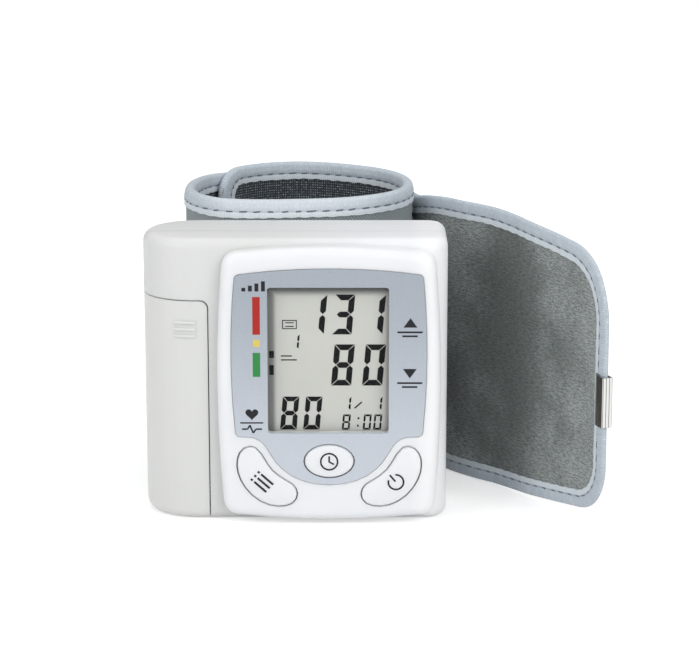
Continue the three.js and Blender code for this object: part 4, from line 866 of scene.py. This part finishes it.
def folded_tape(name, path, half, thick, look):
    """Binding tape over an edge: puffed at the fold, drawn in at the seam, wavy at its free edges."""
    leg = np.array([1.0, 0.95, 0.87, 0.79, 0.71, 0.63, 0.5, 0.38, 0.28])
    turn = np.radians(np.linspace(0, 180, 13))
    along = path.along[:, None]
    scallop = TAPE_SCALLOP * np.cos(2 * math.pi * path.along / STITCH_PITCH)
    drift = 0.03 * waver(path.along, 3.1, 0.11) + 0.02 * waver(path.along, 7.7, 0.6)
    free = path.width * (1 + drift + scallop)
    outer = half(path.spots[:, 0])[:, None]
    leg_depth = free[:, None] * leg
    seam = np.exp(-((leg_depth - STITCH_DEPTH) / SEAM_REACH) ** 2)
    pucker = 1 - SEAM_PUCKER + SEAM_PUCKER * np.cos(2 * math.pi * along / STITCH_PITCH)
    puff = TAPE_PUFF * np.sin(math.pi * np.clip(leg_depth / STITCH_DEPTH, 0, 1))
    drawn_in = SEAM_DRAW * seam * pucker * np.minimum(outer / TAPE_OUTER, 1)
    leg_out = (outer + puff - drawn_in) * pinch(leg_depth)
    fold_depth = leg_depth[:, -1:] * (1 - np.sin(turn))
    fold_out = leg_out[:, -1:] * np.cos(turn)
    depth = np.concatenate([leg_depth[:, :-1], fold_depth, leg_depth[:, -2::-1]], axis=1)
    offset = np.concatenate([leg_out[:, :-1], fold_out, -leg_out[:, -2::-1]], axis=1)

    def inside(outside, fold):
        """The tape's inner face: its free edges, a place on each leg and the fold between them."""
        return np.concatenate([outside[:, [-1, -8]], fold[:, -3:2:-3], outside[:, [7, 0]]], axis=1)

    squeeze = (outer - thick) / outer
    inner_depth = inside(depth, fold_depth + thick)
    inner_offset = inside(offset, fold_out) * squeeze
    depth = np.concatenate([depth, inner_depth], axis=1)
    offset = np.concatenate([offset, inner_offset], axis=1)
    along = np.repeat(along, depth.shape[1], axis=1)
    s, z = path.at(along, depth)
    rings = path.band.spot(s, z, offset)
    uvs = np.stack([along, depth], axis=-1)
    return piece(name, rings, ring_faces(*rings.shape[:2]), look, uvs, crease=60)


def stitches(name, path, half, skip=None):
    """A row of stitches on both faces of a bound edge, each dipping into the cloth at its ends."""
    even = np.linspace(-0.5, 0.5, 7) * STITCH_LENGTH
    round_off = np.sqrt(np.clip(1 - (np.abs(even) / (0.53 * STITCH_LENGTH)) ** 6, 0, 1))
    dip = STITCH_DIP * (np.abs(even) / (0.5 * STITCH_LENGTH)) ** 3
    angle = np.linspace(0, 2 * math.pi, 8, endpoint=False)
    points = []
    faces = []
    middles = np.arange(STITCH_PITCH / 2, path.along[-1] - STITCH_PITCH / 2, STITCH_PITCH)
    for index, middle in enumerate(middles):
        lengths = even * (1 + STITCH_LENGTH_PLAY * noise.noise(Vector((index * 1.7, 4.3, 0))))
        shift = STITCH_PLACE_PLAY * noise.noise(Vector((index * 0.7, 1.9, 0)))
        along = (middle + shift + lengths)[:, None]
        s, z = path.at(along, STITCH_DEPTH)
        if skip is not None and skip(float(s.mean()), float(z.mean())):
            continue
        for face in (1, -1):
            radius = STITCH_RADIUS * round_off[:, None]
            play = STITCH_SLOPE_PLAY * noise.noise(Vector((index * 2.3, 8.1, face)))
            slope = STITCH_SLOPE * face + play
            depth = STITCH_DEPTH + slope * lengths[:, None] / STITCH_LENGTH + radius * np.sin(angle)
            lift = half(s) - STITCH_SINK - dip[:, None] + radius * np.cos(angle)
            ring_s, ring_z = path.at(np.repeat(along, len(angle), axis=1), depth)
            faces += ring_faces(len(lengths), len(angle), len(points) * len(lengths) * len(angle))
            points.append(path.band.spot(ring_s, ring_z, face * lift))
    return piece(name, points, faces, THREAD)


def prism(name, outlines, face_y, look):
    """Flat print on a front face: outlines in X and Z, in millimetres, as one piece."""
    points = []
    faces = []
    for outline in outlines:
        faces += ring_faces(2, len(outline), len(points))
        for y in (face_y - PRINT_THICK, face_y):
            points += [(x * MM, y * MM, z * MM) for x, z in outline]
    return piece(name, points, faces, look, crease=30)


def bar(x0, z0, x1, z1, width):
    """A straight stroke between two points."""
    dx, dz = x1 - x0, z1 - z0
    scale = width / 2 / math.hypot(dx, dz)
    ox, oz = -dz * scale, dx * scale
    return [(x0 + ox, z0 + oz), (x0 - ox, z0 - oz), (x1 - ox, z1 - oz), (x1 + ox, z1 + oz)]


def arc(x, z, radius, width, start, end):
    """A stroke along an arc, from one angle to another, as short joined quads."""
    angles = np.radians(np.linspace(start, end, ARC_STEPS + 1))
    inner, outer = radius - width / 2, radius + width / 2
    strokes = []
    for a, b in zip(angles, angles[1:]):
        corners = ((outer, a), (inner, a), (inner, b), (outer, b))
        strokes.append([(x + r * math.cos(angle), z + r * math.sin(angle)) for r, angle in corners])
    return strokes


SEGMENTS = {"0": "abcdef", "1": "bc", "3": "abgcd", "8": "abcdefg"}


def digit(figure, x, z, w, h, t, g):
    """Slanted seven-segment figure from its lower left corner: width, height, stroke and gap."""
    m = h / 2
    top = [(g, h), (w - g, h), (w - t - g, h - t), (t + g, h - t)]
    side = [(0, h - g), (t, h - t - g), (t, m + t / 2 + g), (t / 2, m + g), (0, m + t / 2 + g)]
    middle = [(t / 2 + g, m), (t + g, m + t / 2), (w - t - g, m + t / 2), (w - t / 2 - g, m),
              (w - t - g, m - t / 2), (t + g, m - t / 2)]
    shapes = {
        "a": top,
        "b": [(w - px, pz) for px, pz in side],
        "c": [(w - px, h - pz) for px, pz in side],
        "d": [(px, h - pz) for px, pz in top],
        "e": [(px, h - pz) for px, pz in side],
        "f": side,
        "g": middle,
    }
    outlines = [shapes[name] for name in SEGMENTS[figure]]
    return [[(x + px + DIGIT_SLANT * pz, z + pz) for px, pz in outline] for outline in outlines]


# Rows of figures with the x of each, then the row's z and its figures' width, height, stroke and gap.
DISPLAY_ROWS = [
    ((("1", 2.35), ("3", 9.2), ("1", 16.8)), 48.4, 4.95, 10.1, 1.45, 0.12),
    ((("8", 9.05), ("0", 16.75)), 35.35, 5.0, 10.5, 1.45, 0.12),
    ((("8", -3.65), ("0", 2.1)), 24.0, 4.1, 8.5, 1.2, 0.1),
    ((("8", 11.7), ("0", 16.9), ("0", 19.5)), 23.95, 1.95, 3.95, 0.48, 0.06),
    ((("1", 11.9), ("1", 19.6)), 29.0, 1.95, 3.5, 0.48, 0.06),
    ((("1", -0.9),), 44.7, 1.95, 3.75, 0.48, 0.06),
]


def display_figures():
    """The readings on the display, in plain figures, with its small marks."""
    shapes = []
    for row, z, *form in DISPLAY_ROWS:
        for figure, x in row:
            shapes += digit(figure, x, z, *form)
    shapes.append(bar(14.9, 29.5, 16.7, 31.1, 0.35))
    shapes += [bar(15.5, 25.0, 15.95, 25.0, 0.5), bar(15.65, 26.9, 16.1, 26.9, 0.5)]
    shapes += [bar(-6.2, 43.3, -5.0, 43.3, 1.8), bar(-6.2, 39.3, -5.1, 39.3, 2.5)]
    shapes += [bar(-2.95, z, 0.65, z, 0.22) for z in (49.85, 51.95)]
    shapes += [bar(x, 49.85, x, 51.95, 0.22) for x in (-2.85, 0.55)]
    shapes += [bar(-2.2, 50.9 + rise, -0.1, 50.9 + rise, 0.24) for rise in (-0.45, 0.45)]
    shapes += [bar(-3.3, 41.9, 0.6, 41.9, 0.3), bar(-3.3, 42.9, -0.6, 42.9, 0.3)]
    return shapes


def heart(x, z, size):
    """A heart outline as one filled shape."""
    turn = np.linspace(0, 2 * math.pi, 40, endpoint=False)
    across = 16 * np.sin(turn) ** 3
    up = 13 * np.cos(turn) - 5 * np.cos(2 * turn) - 2 * np.cos(3 * turn) - np.cos(4 * turn)
    return [(x + size * a / 32, z + size * b / 32) for a, b in zip(across, up)]


def label_marks():
    """Generic marks on the panel: rising bars, triangles with lines, and a heart."""
    marks = [bar(-12.3 + 1.6 * k, 60.0, -12.3 + 1.6 * k, 60.9 + 0.55 * k, 0.95) for k in range(4)]
    marks.append([(28.6, 53.3), (26.9, 50.9), (30.3, 50.9)])
    marks.append([(28.5, 38.0), (26.8, 40.4), (30.2, 40.4)])
    for z in (49.7, 36.8):
        marks += [bar(25.4, z, 31.6, z, 0.45), bar(26.6, z - 1, 30.4, z - 1, 0.45)]
    marks.append(heart(-10.5, 28.9, 3.2))
    marks.append(bar(-13.4, 26.6, -7.7, 26.6, 0.35))
    beat = [(-13.0, 25.0), (-11.6, 25.0), (-11.0, 26.0), (-10.2, 24.0), (-9.5, 25.0), (-8.0, 25.0)]
    marks += [bar(*a, *b, 0.4) for a, b in zip(beat, beat[1:])]
    return marks


def turned(outlines, x, z, degrees):
    """Outlines turned about a point."""
    cosine, sine = math.cos(math.radians(degrees)), math.sin(math.radians(degrees))

    def spun(px, pz):
        across, up = px - x, pz - z
        return x + across * cosine - up * sine, z + across * sine + up * cosine

    return [[spun(*point) for point in outline] for outline in outlines]


def cut_slot(cloth_piece, cutter):
    """Cuts the ring's slot through a piece."""
    change = cloth_piece.modifiers.new("slot", "BOOLEAN")
    change.object = cutter
    change.operation = "DIFFERENCE"
    change.solver = "EXACT"
    graph = bpy.context.evaluated_depsgraph_get()
    cut = bpy.data.meshes.new_from_object(cloth_piece.evaluated_get(graph))
    cloth_piece.modifiers.remove(change)
    cloth_piece.data = cut


def in_slot(s, z):
    """True near the ring's slot, where the row of stitches stops."""
    low = RING_LOW - STITCH_FREE_MARGIN
    high = RING_LOW + RING_HEIGHT + STITCH_FREE_MARGIN
    return s > TAIL.length - STITCH_FREE_REACH and low < z < high


def slot_cutter():
    """Block that fills the ring's slot, well past both faces of the cloth."""
    far = TAIL.length - SLOT_FROM_TIP
    near = far - SLOT_LENGTH
    low = RING_LOW - SLOT_ROOM
    high = RING_LOW + RING_HEIGHT + SLOT_ROOM
    s = np.array([near, far, far, near])
    z = np.array([low, low, high, high])
    rings = [TAIL.spot(s, z, side) for side in (-SLOT_CUT, SLOT_CUT)]
    return piece("slot_cutter", rings, ring_faces(2, 4), LOOKS["foam"])


def softbox(name, place, aim, size, watts):
    """A square lamp that faces a point."""
    lamp = bpy.data.lights.new(name, "AREA")
    lamp.shape = "SQUARE"
    lamp.size = size
    lamp.energy = watts
    made = placed(name, lamp)
    made.location = place
    made.rotation_euler = (Vector(aim) - Vector(place)).to_track_quat("-Z", "Y").to_euler()


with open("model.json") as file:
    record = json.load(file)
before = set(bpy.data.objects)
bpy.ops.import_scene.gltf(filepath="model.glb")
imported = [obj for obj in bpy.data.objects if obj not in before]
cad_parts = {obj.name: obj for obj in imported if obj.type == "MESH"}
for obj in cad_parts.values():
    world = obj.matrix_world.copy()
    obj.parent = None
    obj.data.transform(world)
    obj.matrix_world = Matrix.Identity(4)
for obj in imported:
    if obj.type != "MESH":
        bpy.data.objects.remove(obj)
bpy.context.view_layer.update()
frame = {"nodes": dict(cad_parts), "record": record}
dress_nodes(frame)

# Cloth loop.
loop_stations = np.concatenate([
    np.linspace(CLOTH_END_INSET, 10, 26),
    np.linspace(11, LOOP.length, 230),
])
lining = cloth(
    "cuff_mesh_lining", LOOP, loop_stations, loop_low, loop_high, lining_face,
    level(-CUFF_HALF + 0.9 * LINING_CLOTH), LOOKS["mesh_lining"],
)
face = cloth(
    "cuff_face_cloth", LOOP, loop_stations, loop_low, loop_high,
    level(CUFF_HALF - FACE_CLOTH), face_outside, LOOKS["face_cloth"],
)
pad = cloth(
    "cuff_air_pad", LOOP, np.linspace(6, LOOP.length - 5, 120), loop_low, loop_high,
    lambda s, z, share: PAD_INNER * np.sin(math.pi * np.clip(share, 0.06, 0.94)) ** 0.4,
    lambda s, z, share: PAD_OUTER + 0.02 * np.sin(math.pi * share),
    LOOKS["silicone"], rows=17, inset=6,
)
hook_stations = np.linspace(HOOK_START, HOOK_START + HOOK_LENGTH, 72)
hook = cloth(
    "cuff_hook_strip", LOOP, hook_stations, loop_low, loop_high, level(CUFF_HALF + HOOK_LIFT),
    lambda s, z, share: CUFF_HALF + HOOK_LIFT + HOOK_THICK * (0.9 + 0.1 * np.sin(math.pi * share)),
    LOOKS["hook_tape"], inset=HOOK_INSET,
)
along_loop = np.concatenate([np.linspace(0, 9, 60), np.linspace(9.5, LOOP.length, 330)])
loop_outline = np.vstack([edge_line(along_loop[::-1], loop_low), edge_line(along_loop, loop_high)])
loop_edge = EdgePath(LOOP, loop_outline, -1)
tape = LOOKS["binding_tape"]
loop_binding = folded_tape("cuff_binding_tape", loop_edge, loop_tape, TAPE_THICK, tape)
loop_stitches = stitches("cuff_stitches", loop_edge, loop_tape)

# Free end, continuous with the loop.
tail_stations = np.concatenate([
    np.linspace(TAIL_START, 6, 24),
    np.linspace(7, TIP_START, 62),
    np.minimum(tip_steps(34), TAIL.length - CLOTH_END_INSET)[:-1],
])
pile = cloth(
    "tail_pile", TAIL, tail_stations, tail_low, tail_high, pile_face,
    lambda s, z, share: tail_half(s) - TAIL_CLOTH - 0.06, LOOKS["loop_pile"],
)
tail_face = cloth(
    "tail_face_cloth", TAIL, tail_stations, tail_low, tail_high,
    lambda s, z, share: tail_half(s) - TAIL_CLOTH,
    lambda s, z, share: tail_half(s) + 0.03 * np.sin(math.pi * share), LOOKS["face_cloth"],
)
along_tail = np.concatenate([np.linspace(TAIL_START, TIP_START, 110), tip_steps(90)])
tail_outline = np.vstack([edge_line(along_tail, tail_low), edge_line(along_tail[::-1], tail_high)])
tail_edge = EdgePath(TAIL, tail_outline, 1)
tail_binding = folded_tape("tail_binding_tape", tail_edge, tail_tape, TAIL_TAPE_THICK, tape)
tail_stitches = stitches("tail_stitches", tail_edge, tail_tape, in_slot)
cutter = slot_cutter()
for soft in (pile, tail_face, tail_binding):
    cut_slot(soft, cutter)
bpy.data.objects.remove(cutter)

for soft in (lining, face, pad, hook, loop_binding, loop_stitches):
    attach(soft, "housing")
fold_start = TAIL.spot(-HINGE_GAP, 0, 0)
fold_end = TAIL.spot(FOLD_REACH, 0, 0)
for soft in (pile, tail_face, tail_binding, tail_stitches):
    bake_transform(soft)

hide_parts("cuff_lining")
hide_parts("cuff_outer_fabric")
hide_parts("cuff_bladder", "cuff_padding")
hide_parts("hook_patch")
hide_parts("cuff_binding_top", "cuff_binding_bottom", "cuff_binding_end")
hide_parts("tail_pile_lining", "tail_core")
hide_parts("tail_outer_fabric")
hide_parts("tail_binding")

# Figures on the display and print on the panel and keys.
dark_ink = ink("ink_dark", srgb(44, 44, 48))
lcd_ink = ink("lcd_black", srgb(20, 20, 22))
figures = prism("display_figures", display_figures(), LCD_FACE_Y - FIGURE_LIFT, lcd_ink)
marks = prism("label_marks", label_marks(), LABEL_FACE_Y, dark_ink)
scale_bars = [
    prism(name, [bar(SCALE_X, low, SCALE_X, high, width)], LABEL_FACE_Y, ink(ink_name, srgb(*colour)))
    for name, low, high, width, ink_name, colour in (
        ("scale_red", 49.1, 58.6, 1.85, "ink_red", (170, 50, 44)),
        ("scale_yellow", 46.0, 47.8, 1.6, "ink_yellow", (216, 196, 100)),
        ("scale_green", 38.4, 44.5, 1.85, "ink_green", (58, 136, 76)),
    )
]
for print_piece in (figures, marks, *scale_bars):
    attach(print_piece, "housing")

list_strokes = [
    bar(left, 11.4 + rise, right, 11.4 + rise, 0.55)
    for rise in (-1.3, 0, 1.3) for left, right in ((-9.6, -5.6), (-10.7, -10.1))
]
memory_mark = prism("memory_mark", turned(list_strokes, -8.0, 11.4, -42), KEY_FACE_Y, dark_ink)
clock_hands = [bar(8.6, 16.6, 8.6, 18.1, 0.42), bar(8.5, 16.7, 9.8, 16.0, 0.42)]
clock_strokes = arc(8.6, 16.7, 2.1, 0.42, 0, 360) + clock_hands
setup_mark = prism("setup_mark", clock_strokes, KEY_FACE_Y, dark_ink)
power_strokes = arc(25.2, 11.4, 1.9, 0.45, 125, 415) + [bar(25.2, 11.6, 25.2, 13.8, 0.45)]
power_mark = prism("power_mark", turned(power_strokes, 25.2, 11.4, 40), KEY_FACE_Y, dark_ink)
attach(memory_mark, "memory_key")
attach(setup_mark, "setup_key")
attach(power_mark, "power_key")

# Floor, light and camera.
floor_mesh = bpy.data.meshes.new("floor")
floor_signs = ((-1, -1), (1, -1), (1, 1), (-1, 1))
floor_corners = [(FLOOR_REACH * x, FLOOR_REACH * y, -FLOOR_DROP) for x, y in floor_signs]
floor_mesh.from_pydata(floor_corners, [], [(0, 1, 2, 3)])
floor = placed("floor", floor_mesh)
floor_look = Look("floor_white", {"Base Color": (0.86, 0.86, 0.86, 1), "Roughness": 0.9})
rays = floor_look.add("ShaderNodeLightPath", {}).outputs
direct = floor_look.math("MAXIMUM", rays["Is Camera Ray"], rays["Is Glossy Ray"])
seen = floor_look.math("MAXIMUM", direct, rays["Is Transmission Ray"])
floor_look.feed("Emission Strength", floor_look.math("MULTIPLY", seen, FLOOR_GLOW))
floor_mesh.materials.append(floor_look.material)

world = bpy.data.worlds.new("studio")
bpy.context.scene.world = world
world.use_nodes = True
sky = world.node_tree.nodes["Background"]
sky.inputs["Color"].default_value = (1, 1, 1, 1)
sky_rays = world.node_tree.nodes.new("ShaderNodeLightPath").outputs
sky_level = world.node_tree.nodes.new("ShaderNodeMapRange")
sky_level.inputs["To Min"].default_value = SKY_LIGHT
world.node_tree.links.new(sky_rays["Is Camera Ray"], sky_level.inputs["Value"])
world.node_tree.links.new(sky_level.outputs["Result"], sky.inputs["Strength"])

softbox("key_light", (0.7, -1.05, 0.8), (0.0, 0.0, 0.04), 0.9, 7.6)
softbox("fill_light", (-0.9, -0.8, 0.7), (0.0, 0.0, 0.04), 0.6, 4.1)
softbox("top_light", (0.0, 0.2, 1.4), (0.0, 0.0, 0.0), 1.2, 4.2)

camera_data = bpy.data.cameras.new("camera")
camera_data.lens = CAMERA_LENS
camera_data.sensor_width = CAMERA_SENSOR
camera = placed("camera", camera_data)
camera.location = [value * MM for value in CAMERA_PLACE]
camera.rotation_euler = (math.radians(CAMERA_TILT), 0, 0)
bpy.context.scene.camera = camera
bpy.context.scene.view_settings.view_transform = "Standard"
